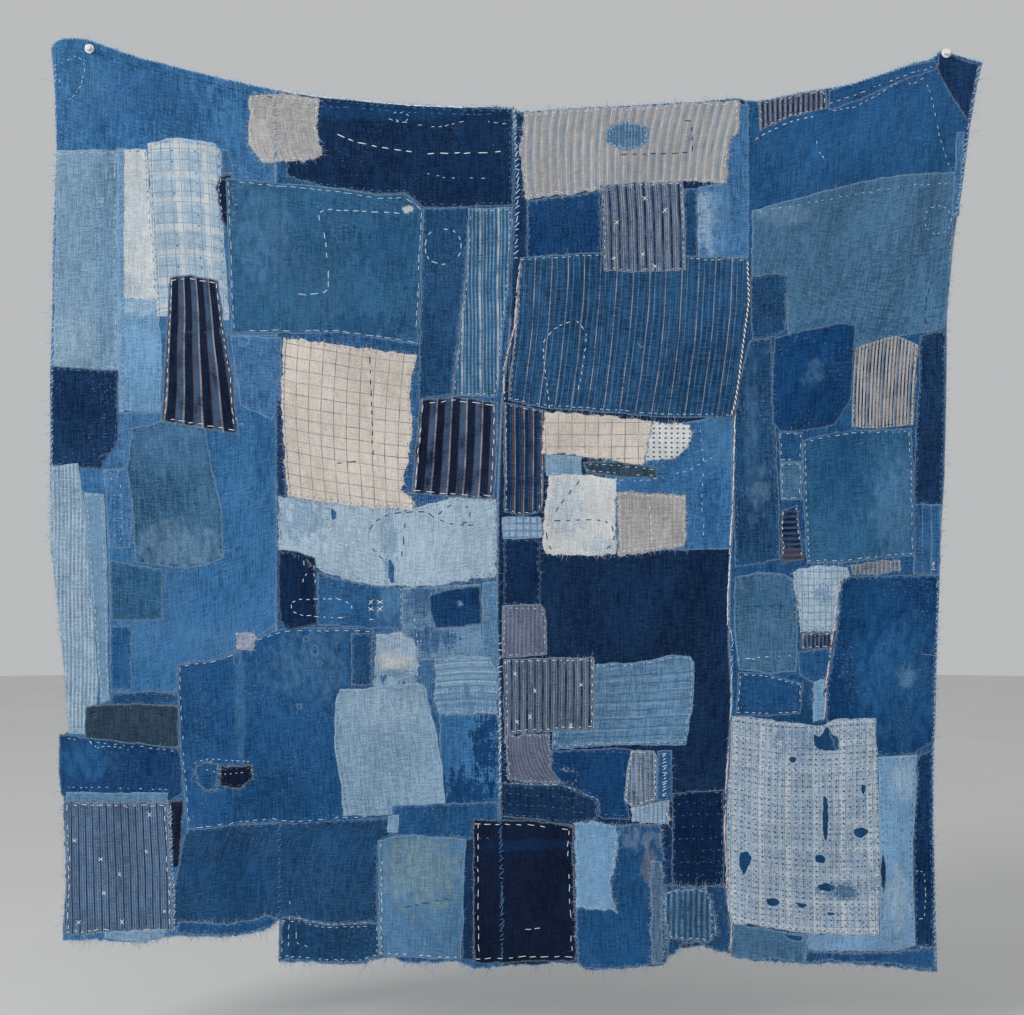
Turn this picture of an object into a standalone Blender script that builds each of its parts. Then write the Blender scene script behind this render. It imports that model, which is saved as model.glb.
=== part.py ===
"""Boro hanging: four loom-width panels of patched indigo cotton, held by two push pins.

The panels are joined edge to edge by upright seams and hang from the pins near the two
top corners, so the top edge sags between them and the cloth falls in soft slanting folds.
The origin is midway between the pins, on the front face of the cloth: +X to the right,
+Z up, and the front looks along -Y.

Places on the cloth are given on a chart, in squares counted right (x) and down (y).
PIN_SPAN sets the real size of a square.
"""

import math
from typing import NamedTuple

import bmesh
import bpy
from mathutils import Matrix

# Driving dimensions, in metres.
PIN_SPAN = 1.228
CLOTH_THICKNESS = 0.002
SEAM_GAP = 0.0003
CLOTH_STAND_OFF = 0.006
FOLD_DEPTH_SCALE = 1.3

COLLAR_RADIUS = 0.0067
COLLAR_THICKNESS = 0.0022
WAIST_RADIUS = 0.0029
GRIP_RADIUS = 0.0041
GRIP_LENGTH = 0.0175
GRIP_HEAD_LENGTH = 0.0035
WAIST_TAPER = 0.0062
WAIST_FLARE = 0.0002
COLLAR_FILLET = 0.0006
GRIP_EDGE = 0.0004
NEEDLE_RADIUS = 0.0006
NEEDLE_REACH = 0.012
NEEDLE_POINT = 0.003
SOCKET_DEPTH = 0.007
RUNNING_GAP = 0.0003
NEEDLE_HOLE_CUT = 0.02
MERGE_DISTANCE = 0.00005
MILLIMETRE = 0.001
ROUND_STEPS = 20
NEEDLE_STEPS = 12

# A ridge keeps this share of its rise at its two ends.
CREST_AT_ENDS = 0.4

# A plain row nearer than this share of a row to a step in the selvedge gives way to it.
ROW_CLEARANCE = 0.4

COLUMNS_PER_PANEL = 14
ROWS_TO_HEM = 40
ROWS_IN_HEM = 3
HEM_START_LEVEL = 900.0
STEP_LEVELS = (732.5, 735.5, 793.5, 796.5)

PIN_CALM_RADIUS = 17.0
PIN_FOLD_RADIUS = 64.0


class Place(NamedTuple):
    """A point on the chart, in squares."""

    x: float
    y: float


class Fold(NamedTuple):
    """A soft ridge between two points: its half width in squares and its rise in mm."""

    start: Place
    end: Place
    reach: float
    rise: float


class Panel(NamedTuple):
    """A loom width: the seam or selvedge on each side, and its dye colour."""

    name: str
    left: tuple
    right: tuple
    colour: tuple


LEFT_PIN = Place(88.4, 47.7)
RIGHT_PIN = Place(947.3, 52.0)
SQUARE = PIN_SPAN / math.dist(LEFT_PIN, RIGHT_PIN)
CHART_ORIGIN = Place((LEFT_PIN.x + RIGHT_PIN.x) / 2, (LEFT_PIN.y + RIGHT_PIN.y) / 2)

# The top edge, left to right: it rises over each pin and sags between them.
TOP_EDGE = (
    Place(50, 47), Place(53, 41), Place(60, 37), Place(75, 36), Place(86, 37),
    Place(113, 47), Place(136, 56), Place(169, 64), Place(196, 71), Place(229, 79),
    Place(275, 89), Place(318, 95.5), Place(373, 100.5), Place(411, 104), Place(461, 106),
    Place(494, 105), Place(522, 111), Place(576, 107), Place(626, 105), Place(701, 101),
    Place(739, 97), Place(758, 100.5), Place(808, 90.5), Place(850, 84), Place(899, 68),
    Place(916, 61), Place(936, 56.5), Place(939, 49), Place(953, 52), Place(984, 61),
)

# The bottom edge, left to right. Each panel ends at its own length.
BOTTOM_EDGES = {
    "left_panel": (
        Place(62, 941), Place(96, 940), Place(142, 944), Place(165, 937), Place(200, 938),
        Place(229, 937), Place(262, 932), Place(279, 921),
    ),
    "centre_left_panel": (
        Place(278, 963), Place(300, 962), Place(336, 965), Place(360, 965), Place(380, 959),
        Place(394, 959), Place(403, 964), Place(462, 963), Place(476, 970), Place(502, 967),
    ),
    "centre_right_panel": (
        Place(502, 967), Place(540, 965), Place(577, 964), Place(585, 971), Place(626, 969),
        Place(666, 966), Place(668, 957), Place(678, 950), Place(701, 945), Place(731, 954),
    ),
    "right_panel": (
        Place(731, 957), Place(759, 962), Place(790, 963), Place(805, 966), Place(833, 963),
        Place(866, 965), Place(904, 970), Place(938, 973),
    ),
}

# The outer edges and the seams between the panels, from top to bottom.
LEFT_SELVEDGE = (
    Place(50, 47), Place(54, 90), Place(56, 150), Place(52, 250), Place(52, 300),
    Place(50, 370), Place(49.5, 470), Place(49.5, 543), Place(57, 604), Place(61.5, 651),
    Place(66, 697), Place(68.5, 732.5), Place(59, 735.5), Place(58, 770), Place(60, 793.5),
    Place(63, 796.5), Place(65, 860), Place(65, 900), Place(62, 925), Place(65, 942),
)
FIRST_SEAM = (
    Place(275, 89), Place(276, 340), Place(277, 480), Place(273, 560), Place(276, 625),
    Place(276, 700), Place(279, 800), Place(279, 900), Place(279, 964),
)
SECOND_SEAM = (
    Place(514, 107), Place(518, 180), Place(516, 260), Place(509, 340), Place(502, 400),
    Place(498, 500), Place(497, 620), Place(500, 720), Place(500, 800), Place(502, 900),
    Place(502, 968),
)
THIRD_SEAM = (
    Place(746, 100), Place(748, 200), Place(746, 300), Place(737, 380), Place(733, 430),
    Place(733, 520), Place(730, 560), Place(729, 640), Place(732, 700), Place(728, 760),
    Place(726, 850), Place(731, 900), Place(731, 957),
)
RIGHT_SELVEDGE = (
    Place(984, 61), Place(979, 80), Place(970, 130), Place(962, 194), Place(958, 215),
    Place(953, 250), Place(947, 313), Place(946.5, 400), Place(945, 481), Place(941, 540),
    Place(940, 580), Place(937.5, 640), Place(936.5, 700), Place(934.5, 765),
    Place(934, 820), Place(936, 900), Place(938, 973),
)

# Ridges slant in from each pin, and upright ones run down to the hem.
FOLDS = (
    Fold(Place(112, 66), Place(240, 190), 27, 9.0),
    Fold(Place(78, 80), Place(112, 262), 23, 8.0),
    Fold(Place(60, 262), Place(74, 480), 20, 5.0),
    Fold(Place(205, 215), Place(335, 335), 28, 6.5),
    Fold(Place(150, 335), Place(240, 452), 24, 5.5),
    Fold(Place(100, 480), Place(182, 640), 26, 6.5),
    Fold(Place(300, 520), Place(420, 642), 27, 5.5),
    Fold(Place(232, 660), Place(332, 800), 30, 6.5),
    Fold(Place(92, 722), Place(122, 935), 24, 8.0),
    Fold(Place(205, 815), Place(222, 935), 22, 7.0),
    Fold(Place(345, 835), Place(326, 962), 24, 8.0),
    Fold(Place(428, 850), Place(448, 964), 20, 6.5),
    Fold(Place(520, 825), Place(504, 966), 22, 7.0),
    Fold(Place(462, 128), Place(440, 330), 26, 5.0),
    Fold(Place(325, 104), Place(398, 200), 22, 5.0),
    Fold(Place(560, 430), Place(530, 560), 20, 4.5),
    Fold(Place(925, 76), Place(765, 238), 28, 10.0),
    Fold(Place(942, 92), Place(878, 330), 25, 9.0),
    Fold(Place(950, 240), Place(928, 462), 18, 6.0),
    Fold(Place(752, 295), Place(602, 418), 24, 8.0),
    Fold(Place(742, 382), Place(640, 472), 18, 4.5),
    Fold(Place(728, 556), Place(600, 662), 25, 8.0),
    Fold(Place(852, 328), Place(776, 432), 20, 6.0),
    Fold(Place(914, 478), Place(828, 584), 25, 8.0),
    Fold(Place(928, 600), Place(852, 764), 28, 7.0),
    Fold(Place(704, 108), Place(565, 202), 25, 5.5),
    Fold(Place(736, 690), Place(642, 802), 23, 6.0),
    Fold(Place(902, 800), Place(862, 958), 25, 7.5),
    Fold(Place(762, 815), Place(744, 960), 20, 8.0),
    Fold(Place(604, 850), Place(594, 966), 22, 7.0),
    Fold(Place(684, 840), Place(690, 946), 18, 6.0),
)

WASHED_BLUE = (0.075, 0.165, 0.315)
MID_INDIGO = (0.045, 0.125, 0.265)
DEEP_INDIGO = (0.025, 0.075, 0.185)
FADED_INDIGO = (0.065, 0.150, 0.290)
PANELS = (
    Panel("left_panel", LEFT_SELVEDGE, FIRST_SEAM, WASHED_BLUE),
    Panel("centre_left_panel", FIRST_SEAM, SECOND_SEAM, MID_INDIGO),
    Panel("centre_right_panel", SECOND_SEAM, THIRD_SEAM, DEEP_INDIGO),
    Panel("right_panel", THIRD_SEAM, RIGHT_SELVEDGE, FADED_INDIGO),
)


def clear_scene():
    """Removes whatever the file opened with."""
    for item in list(bpy.data.objects):
        bpy.data.objects.remove(item, do_unlink=True)


def new_collection(name):
    """Adds a collection under the scene's own."""
    collection = bpy.data.collections.new(name)
    bpy.context.scene.collection.children.link(collection)
    return collection


def plain_material(name, colour, roughness, metallic=0.0):
    """Makes a Principled material of one colour."""
    material = bpy.data.materials.new(name)
    material.use_nodes = True
    shader = material.node_tree.nodes["Principled BSDF"]
    shader.inputs["Base Color"].default_value = (*colour, 1.0)
    shader.inputs["Roughness"].default_value = roughness
    shader.inputs["Metallic"].default_value = metallic
    return material


def world_x(chart_x):
    """Metres to the right of the origin."""
    return (chart_x - CHART_ORIGIN.x) * SQUARE


def world_z(chart_y):
    """Metres above the origin."""
    return (CHART_ORIGIN.y - chart_y) * SQUARE


def along_x(points, x):
    """Height of an edge, as a chart y, above or below a chart x."""
    for near, far in zip(points, points[1:]):
        if x <= far.x:
            share = max(0.0, (x - near.x) / (far.x - near.x))
            return near.y + share * (far.y - near.y)
    return points[-1].y


def along_y(points, y):
    """Side place of an edge, as a chart x, at a chart y."""
    for near, far in zip(points, points[1:]):
        if y <= far.y:
            share = max(0.0, (y - near.y) / (far.y - near.y))
            return near.x + share * (far.x - near.x)
    return points[-1].x


def smooth_step(value):
    """Eases from 0 to 1 as the value passes from 0 to 1."""
    bounded = min(1.0, max(0.0, value))
    return bounded * bounded * (3.0 - 2.0 * bounded)


def fold_rise(fold, x, y):
    """How far one ridge lifts the cloth at a chart point, in metres."""
    run_x = fold.end.x - fold.start.x
    run_y = fold.end.y - fold.start.y
    along = ((x - fold.start.x) * run_x + (y - fold.start.y) * run_y) / (run_x**2 + run_y**2)
    share = min(1.0, max(0.0, along))
    off = math.hypot(x - fold.start.x - share * run_x, y - fold.start.y - share * run_y)
    crest = fold.rise * (CREST_AT_ENDS + (1.0 - CREST_AT_ENDS) * math.sin(math.pi * share))
    return crest * math.exp(-((off / fold.reach) ** 2)) * MILLIMETRE


def cloth_lift(x, y):
    """How far the cloth stands off the wall side, in metres, at a chart point.

    It lies flat under each pin and eases into the folds around it.
    """
    calm = 1.0
    for pin in (LEFT_PIN, RIGHT_PIN):
        away = math.dist((x, y), pin) - PIN_CALM_RADIUS
        calm *= smooth_step(away / (PIN_FOLD_RADIUS - PIN_CALM_RADIUS))
    rise = CLOTH_STAND_OFF + FOLD_DEPTH_SCALE * sum(fold_rise(fold, x, y) for fold in FOLDS)
    return calm * rise


def row_shares():
    """Shares of the way from the top edge down to where the hem rows begin."""
    start = LEFT_SELVEDGE[0].y
    span = HEM_START_LEVEL - start
    shares = [row / ROWS_TO_HEM for row in range(ROWS_TO_HEM + 1)]
    steps = [(level - start) / span for level in STEP_LEVELS]
    clearance = ROW_CLEARANCE / ROWS_TO_HEM
    kept = [s for s in shares if all(abs(s - step) > clearance for step in steps)]
    return sorted(kept + steps)


def panel_rows(panel):
    """Chart points of a panel, row by row from its top edge to its ragged bottom edge."""
    bottom = BOTTOM_EDGES[panel.name]
    inset = SEAM_GAP / 2 / SQUARE
    rows = []
    for share in row_shares():
        row = []
        for column in range(COLUMNS_PER_PANEL + 1):
            across = column / COLUMNS_PER_PANEL
            top_left = panel.left[0]
            top_right = panel.right[0]
            top = along_x(TOP_EDGE, top_left.x + across * (top_right.x - top_left.x))
            y = top + share * (HEM_START_LEVEL - top)
            left_y = top_left.y + share * (HEM_START_LEVEL - top_left.y)
            right_y = top_right.y + share * (HEM_START_LEVEL - top_right.y)
            left_x = along_y(panel.left, left_y) + inset
            right_x = along_y(panel.right, right_y) - inset
            row.append(Place(left_x + across * (right_x - left_x), y))
        rows.append(row)
    for hem_row in range(1, ROWS_IN_HEM + 1):
        share = hem_row / ROWS_IN_HEM
        row = []
        for column in range(COLUMNS_PER_PANEL + 1):
            across = column / COLUMNS_PER_PANEL
            foot_left = bottom[0].y
            foot_right = bottom[-1].y
            left_x = along_y(panel.left, HEM_START_LEVEL + share * (foot_left - HEM_START_LEVEL))
            right_x = along_y(panel.right, HEM_START_LEVEL + share * (foot_right - HEM_START_LEVEL))
            x = left_x + inset + across * (right_x - left_x - 2 * inset)
            foot = along_x(bottom, x)
            row.append(Place(x, HEM_START_LEVEL + share * (foot - HEM_START_LEVEL)))
        rows.append(row)
    return rows


def build_panel(panel, collection):
    """Makes a panel: a grid laid on the outline and folds, then given its thickness."""
    rows = panel_rows(panel)
    mesh = bmesh.new()
    bmesh.ops.create_grid(
        mesh, x_segments=COLUMNS_PER_PANEL, y_segments=len(rows) - 1, size=0.5
    )
    for vertex in mesh.verts:
        column = round((vertex.co.x + 0.5) * COLUMNS_PER_PANEL)
        row = round((0.5 - vertex.co.y) * (len(rows) - 1))
        place = rows[row][column]
        vertex.co = (world_x(place.x), -cloth_lift(place.x, place.y), world_z(place.y))
    back = bmesh.ops.extrude_face_region(mesh, geom=mesh.faces[:])
    back_points = [item for item in back["geom"] if isinstance(item, bmesh.types.BMVert)]
    bmesh.ops.translate(mesh, verts=back_points, vec=(0.0, CLOTH_THICKNESS, 0.0))
    bmesh.ops.recalc_face_normals(mesh, faces=mesh.faces[:])
    data = bpy.data.meshes.new(panel.name)
    mesh.to_mesh(data)
    mesh.free()
    data.materials.append(plain_material(f"{panel.name}_cotton", panel.colour, 0.9))
    piece = bpy.data.objects.new(panel.name, data)
    collection.objects.link(piece)
    return piece


def turned(name, profile, steps, place, material, collection):
    """Turns a profile of (radius, depth) pairs about an axis that runs along Y.

    The profile runs from the back of the piece round its outside to the front.
    """
    data = bpy.data.meshes.new(name)
    corners = [(radius, 0.0, depth) for radius, depth in profile]
    edges = [(index, index + 1) for index in range(len(corners) - 1)]
    data.from_pydata(corners, edges, [])
    data.materials.append(material)
    piece = bpy.data.objects.new(name, data)
    collection.objects.link(piece)
    spin = piece.modifiers.new("turning", "SCREW")
    spin.steps = steps
    spin.render_steps = steps
    spin.use_merge_vertices = True
    spin.merge_threshold = MERGE_DISTANCE
    piece.matrix_world = Matrix.Translation((world_x(place.x), 0.0, world_z(place.y))) @ (
        Matrix.Rotation(math.pi / 2, 4, "X")
    )
    return piece


def build_pin(name, place, collection):
    """Makes a push pin: a waisted grip and a needle through the cloth, and returns both."""
    clear_plastic = plain_material(f"{name}_plastic", (0.83, 0.83, 0.80), 0.15)
    steel = plain_material(f"{name}_steel", (0.72, 0.72, 0.70), 0.25, 1.0)
    socket_radius = NEEDLE_RADIUS + RUNNING_GAP
    back = RUNNING_GAP
    front = back + GRIP_LENGTH
    grip_profile = (
        (0.0, front),
        (GRIP_RADIUS - 2 * GRIP_EDGE, front),
        (GRIP_RADIUS, front - 2 * GRIP_EDGE),
        (GRIP_RADIUS, front - GRIP_HEAD_LENGTH),
        (WAIST_RADIUS, front - WAIST_TAPER),
        (WAIST_RADIUS + WAIST_FLARE, back + WAIST_TAPER),
        (GRIP_RADIUS, back + COLLAR_THICKNESS + COLLAR_FILLET),
        (COLLAR_RADIUS - GRIP_EDGE, back + COLLAR_THICKNESS),
        (COLLAR_RADIUS, back + COLLAR_THICKNESS - GRIP_EDGE),
        (COLLAR_RADIUS, back + GRIP_EDGE),
        (COLLAR_RADIUS - GRIP_EDGE, back),
        (socket_radius, back),
        (socket_radius, back + SOCKET_DEPTH),
        (0.0, back + SOCKET_DEPTH),
    )
    needle_profile = (
        (0.0, back + SOCKET_DEPTH - RUNNING_GAP),
        (NEEDLE_RADIUS, back + SOCKET_DEPTH - RUNNING_GAP),
        (NEEDLE_RADIUS, NEEDLE_POINT - NEEDLE_REACH),
        (0.0, -NEEDLE_REACH),
    )
    grip = turned(f"{name}_grip", grip_profile, ROUND_STEPS, place, clear_plastic, collection)
    needle = turned(f"{name}_needle", needle_profile, NEEDLE_STEPS, place, steel, collection)
    return grip, needle


def pierce(panel, place, name, cutters):
    """Cuts the small hole that a pin's needle passes through."""
    bpy.ops.mesh.primitive_cylinder_add(
        vertices=NEEDLE_STEPS,
        radius=NEEDLE_RADIUS + RUNNING_GAP,
        depth=NEEDLE_HOLE_CUT,
        location=(world_x(place.x), 0.0, world_z(place.y)),
        rotation=(math.pi / 2, 0.0, 0.0),
    )
    cutter = bpy.context.object
    cutter.name = name
    for collection in cutter.users_collection:
        collection.objects.unlink(cutter)
    cutters.objects.link(cutter)
    cutter.hide_render = True
    cutter.display_type = "WIRE"
    cut = panel.modifiers.new("needle hole", "BOOLEAN")
    cut.operation = "DIFFERENCE"
    cut.solver = "EXACT"
    cut.object = cutter


def main():
    """Builds the panels and the pins."""
    clear_scene()
    hanging = new_collection("boro_hanging")
    cutters = new_collection("needle_cutters")
    panels = [build_panel(panel, hanging) for panel in PANELS]
    build_pin("left_pin", LEFT_PIN, hanging)
    build_pin("right_pin", RIGHT_PIN, hanging)
    pierce(panels[0], LEFT_PIN, "left_needle_cutter", cutters)
    pierce(panels[-1], RIGHT_PIN, "right_needle_cutter", cutters)


main()
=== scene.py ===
"""Dresses the boro hanging: four base cloths, their patches, the sewing, frays and push pins.

Places on the cloth are given on the same chart as in the solids' source, in squares counted
right (x) and down (y). PIN_SPAN sets the real size of a square. The cloths lie on the folds
of the solids that they replace, and a relief of the whole chart keeps the height of what has
been laid so far, so that each patch lies on those beneath it and shows their edges.
"""

import logging
import math
from dataclasses import dataclass, field
from enum import Enum
from typing import NamedTuple

import bpy
import numpy as np
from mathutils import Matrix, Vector


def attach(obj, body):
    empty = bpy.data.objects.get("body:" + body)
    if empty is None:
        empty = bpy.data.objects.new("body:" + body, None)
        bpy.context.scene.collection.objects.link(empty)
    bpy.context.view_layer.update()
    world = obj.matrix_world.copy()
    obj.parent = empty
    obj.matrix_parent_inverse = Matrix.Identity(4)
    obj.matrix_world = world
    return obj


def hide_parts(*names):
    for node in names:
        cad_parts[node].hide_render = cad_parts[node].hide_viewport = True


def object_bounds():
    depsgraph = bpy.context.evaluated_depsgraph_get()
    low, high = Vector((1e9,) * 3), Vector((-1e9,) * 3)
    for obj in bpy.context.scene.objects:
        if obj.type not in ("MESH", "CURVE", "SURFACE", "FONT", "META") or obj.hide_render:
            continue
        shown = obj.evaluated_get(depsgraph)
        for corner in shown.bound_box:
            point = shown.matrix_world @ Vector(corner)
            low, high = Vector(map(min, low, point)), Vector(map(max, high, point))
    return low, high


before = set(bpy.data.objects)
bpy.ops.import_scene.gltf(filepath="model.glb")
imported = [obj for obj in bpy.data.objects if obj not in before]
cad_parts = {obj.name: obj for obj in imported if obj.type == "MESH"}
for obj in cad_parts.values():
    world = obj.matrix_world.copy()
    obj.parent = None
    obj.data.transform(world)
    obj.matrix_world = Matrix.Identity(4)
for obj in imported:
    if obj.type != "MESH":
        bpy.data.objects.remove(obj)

CAD_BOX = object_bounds()
LOG = logging.getLogger("boro_hanging")
BODY = "root"

# The chart, as in the solids' source: metres, then squares, then shares of a fold's rise.
MILLIMETRE = 0.001
PIN_SPAN = 1.228
CLOTH_STAND_OFF = 0.006
PIN_CALM_RADIUS = 17.0
PIN_FOLD_RADIUS = 64.0
FOLD_DEPTH_SCALE = 1.3
CREST_AT_ENDS = 0.4

# The cloths, in metres.
BASE_THICKNESS = 0.0009
BASE_SET_BACK = 0.0007
PATCH_THICKNESS = 0.00042
PATCH_CLEARANCE = 0.00008
SEAM_RIDGE = 0.0005
HEM_ROLL = 0.0003

# How much a hem's roll ripples, and how much of its height a patch has at its very edge.
HEM_RIPPLE = 0.35
EDGE_HEIGHT = 0.35

# The cloths, in squares.
BASE_STEP = 5.2
PATCH_STEP = 4.0
RIM_STATIONS = (0.0, 0.9, 2.2, 4.4)
CLIMB = 0.9
ROLL_CENTRE = 2.3
ROLL_REACH = 1.7
NARROW = 60.0
HEM_DEPTH = 9.0
SEAM_REACH = 2.0
SELVEDGE_REACH = 2.5

# The edges: how far they stray in squares, and how often that is softened.
HEAD_STRAY = (0.3, 3)
FOOT_STRAY = (0.8, 1)
RAW_STRAY = (0.85, 1)
TURNED_STRAY = (0.4, 3)
HOLE_STRAY = (0.35, 1)
ROW_STRAY = (0.5, 6)

# What is turned under of a patch.
TURNED_AREA = 1.05

# The threads: radii in metres.
THREAD_RADIUS = 0.00054
FIBRE_RADIUS = 0.00017
CORD_RADIUS = 0.0012
BOLD = 0.00075
FINE = 0.0005

# The stitches: the share that is gone, the spread of their sizes, and how far their ends stray
# in squares. Their arch, and how deep they sink, is in radii.
WORN_AWAY = 0.07
LENGTH_SPREAD = (0.6, 1.4)
REACH_SPREAD = (0.25, 0.85)
SLANT_SPREAD = 0.8
CROSS_SPREAD = (0.5, 1.3)
STRAY = 0.3
ARCH = 1.55
SUNK = 0.85
DEEPEST_INSET = 0.45
ROW_REACH = (0.02, 0.98)

# How many points a sewn line, a hole's edge and a ridge are read at, and a distance past them all.
SEWN_POINTS = 40
HOLE_POINTS = 160
RIDGE_POINTS = 240
FAR = 1e6

# The loose fibres, in squares, with the lift in metres and the lengths as a gamma's two numbers.
ROOT_DEPTH = 0.8
FIBRE_LENGTHS = (2.2, 0.45)
LEAN_SPREAD = 0.55
SWAY_SPREAD = 0.35
FIBRE_LIFT = 0.0007

# The long stitches of dark thread, in squares.
DARK_DASH = 6.2
DARK_GAP = 3.8

# The studio's light shows the dyes lighter than they are, so their values are scaled by this.
DYE_UNDER_LIGHT = 0.84

# Chance: its seed, and the uneven waves of the cloth as cells in squares and heights in metres.
SEED = 4711
WAVES = ((38, 0.0009), (13, 0.00032))


class Place(NamedTuple):
    """A point on the chart, in squares."""

    x: float
    y: float


class Fold(NamedTuple):
    """A soft ridge between two points: its half width in squares and its rise in mm."""

    start: Place
    end: Place
    reach: float
    rise: float


LEFT_PIN = Place(88.4, 47.7)
RIGHT_PIN = Place(947.3, 52.0)
SQUARE = PIN_SPAN / math.dist(LEFT_PIN, RIGHT_PIN)
CHART_ORIGIN = Place((LEFT_PIN.x + RIGHT_PIN.x) / 2, (LEFT_PIN.y + RIGHT_PIN.y) / 2)


def ring(*numbers: float) -> tuple[Place, ...]:
    """Pairs the numbers of a line on the chart.

    Args:
        numbers: x and y in turn, in squares.

    Returns:
        The line's places, in order.
    """
    return tuple(Place(x, y) for x, y in zip(numbers[::2], numbers[1::2]))


def fold_rows(*rows: tuple[float, ...]) -> tuple[Fold, ...]:
    """Makes folds from rows of numbers.

    Args:
        rows: Each fold's start x and y, end x and y, half width and rise.

    Returns:
        The folds, in order.
    """
    return tuple(Fold(Place(*row[:2]), Place(*row[2:4]), *row[4:]) for row in rows)


TOP_EDGE = ring(
    50, 47, 53, 41, 60, 37, 75, 36, 86, 37, 113, 47, 136, 56, 169, 64, 196, 71, 229, 79,
    275, 89, 318, 95.5, 373, 100.5, 411, 104, 461, 106, 494, 105, 522, 111, 576, 107, 626, 105,
    701, 101, 739, 97, 758, 100.5, 808, 90.5, 850, 84, 899, 68, 916, 61, 936, 56.5, 939, 49,
    953, 52, 984, 61,
)
BOTTOM_EDGES = {
    "left_panel": ring(
        62, 941, 96, 940, 142, 944, 165, 937, 200, 938, 229, 937, 262, 932, 279, 921
    ),
    "centre_left_panel": ring(
        278, 963, 300, 962, 336, 965, 360, 965, 380, 959, 394, 959, 403, 964, 462, 963,
        476, 970, 502, 967,
    ),
    "centre_right_panel": ring(
        502, 967, 540, 965, 577, 964, 585, 971, 626, 969, 666, 966, 668, 957, 678, 950,
        701, 945, 731, 954,
    ),
    "right_panel": ring(
        731, 957, 759, 962, 790, 963, 805, 966, 833, 963, 866, 965, 904, 970, 938, 973
    ),
}
LEFT_SELVEDGE = ring(
    50, 47, 54, 90, 56, 150, 52, 250, 52, 300, 50, 370, 49.5, 470, 49.5, 543, 57, 604,
    61.5, 651, 66, 697, 68.5, 732.5, 59, 735.5, 58, 770, 60, 793.5, 63, 796.5, 65, 860,
    65, 900, 62, 925, 65, 942,
)
FIRST_SEAM = ring(
    275, 89, 276, 340, 277, 480, 273, 560, 276, 625, 276, 700, 279, 800, 279, 900, 279, 964
)
SECOND_SEAM = ring(
    514, 107, 518, 180, 516, 260, 509, 340, 502, 400, 498, 500, 497, 620, 500, 720,
    500, 800, 502, 900, 502, 968,
)
THIRD_SEAM = ring(
    746, 100, 748, 200, 746, 300, 737, 380, 733, 430, 733, 520, 730, 560, 729, 640,
    732, 700, 728, 760, 726, 850, 731, 900, 731, 957,
)
RIGHT_SELVEDGE = ring(
    984, 61, 979, 80, 970, 130, 962, 194, 958, 215, 953, 250, 947, 313, 946.5, 400,
    945, 481, 941, 540, 940, 580, 937.5, 640, 936.5, 700, 934.5, 765, 934, 820, 936, 900,
    938, 973,
)

# The folds of the solids: ridges slant in from each pin and run down to the hem.
FOLDS = fold_rows(
    (112, 66, 240, 190, 27, 9.0), (78, 80, 112, 262, 23, 8.0), (60, 262, 74, 480, 20, 5.0),
    (205, 215, 335, 335, 28, 6.5), (150, 335, 240, 452, 24, 5.5), (100, 480, 182, 640, 26, 6.5),
    (300, 520, 420, 642, 27, 5.5), (232, 660, 332, 800, 30, 6.5), (92, 722, 122, 935, 24, 8.0),
    (205, 815, 222, 935, 22, 7.0), (345, 835, 326, 962, 24, 8.0), (428, 850, 448, 964, 20, 6.5),
    (520, 825, 504, 966, 22, 7.0), (462, 128, 440, 330, 26, 5.0), (325, 104, 398, 200, 22, 5.0),
    (560, 430, 530, 560, 20, 4.5), (925, 76, 765, 238, 28, 10.0), (942, 92, 878, 330, 25, 9.0),
    (950, 240, 928, 462, 18, 6.0), (752, 295, 602, 418, 24, 8.0), (742, 382, 640, 472, 18, 4.5),
    (728, 556, 600, 662, 25, 8.0), (852, 328, 776, 432, 20, 6.0), (914, 478, 828, 584, 25, 8.0),
    (928, 600, 852, 764, 28, 7.0), (704, 108, 565, 202, 25, 5.5), (736, 690, 642, 802, 23, 6.0),
    (902, 800, 862, 958, 25, 7.5), (762, 815, 744, 960, 20, 8.0), (604, 850, 594, 966, 22, 7.0),
    (684, 840, 690, 946, 18, 6.0),
)

# Finer creases and troughs that the solids leave out. A trough has a rise below zero.
CREASES = fold_rows(
    (100, 60, 150, 128, 7, 1.4), (118, 58, 214, 118, 9, -1.6), (70, 70, 82, 150, 6, -1.3),
    (92, 92, 128, 205, 7, -1.5), (238, 196, 300, 262, 10, -1.4), (330, 214, 388, 300, 9, 1.2),
    (300, 350, 392, 452, 9, 1.3), (292, 420, 350, 490, 8, -1.2), (166, 300, 206, 410, 8, 1.2),
    (112, 560, 160, 640, 8, -1.3), (196, 690, 262, 742, 9, 1.2), (262, 690, 352, 760, 10, -1.4),
    (352, 700, 420, 792, 9, 1.1), (74, 820, 96, 930, 8, -1.3), (132, 812, 152, 930, 8, 1.2),
    (246, 836, 254, 930, 9, -1.3), (402, 850, 396, 955, 8, -1.1), (486, 838, 484, 958, 8, 1.1),
    (552, 838, 548, 958, 8, -1.2), (520, 130, 640, 108, 7, 1.0), (612, 200, 672, 262, 8, 1.0),
    (700, 270, 590, 330, 9, -1.3), (717, 331, 649, 398, 6, -2.0), (706, 324, 640, 388, 7, 1.5),
    (560, 560, 690, 600, 9, 1.2), (700, 566, 628, 636, 8, -1.3), (572, 676, 668, 730, 8, 1.1),
    (900, 82, 790, 168, 9, -1.7), (934, 84, 868, 190, 8, 1.5), (958, 84, 944, 190, 7, -1.4),
    (860, 210, 800, 300, 9, -1.3), (926, 210, 884, 320, 9, 1.3), (826, 444, 896, 548, 9, -1.1),
    (906, 590, 862, 690, 9, -1.4), (846, 596, 880, 740, 9, 1.1), (752, 740, 800, 900, 9, 1.1),
    (846, 740, 836, 920, 9, -1.2), (900, 770, 896, 930, 7, 1.0), (628, 846, 640, 960, 9, -1.1),
    (180, 836, 190, 930, 7, -1.2), (360, 846, 352, 950, 8, -1.2),
)


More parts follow.
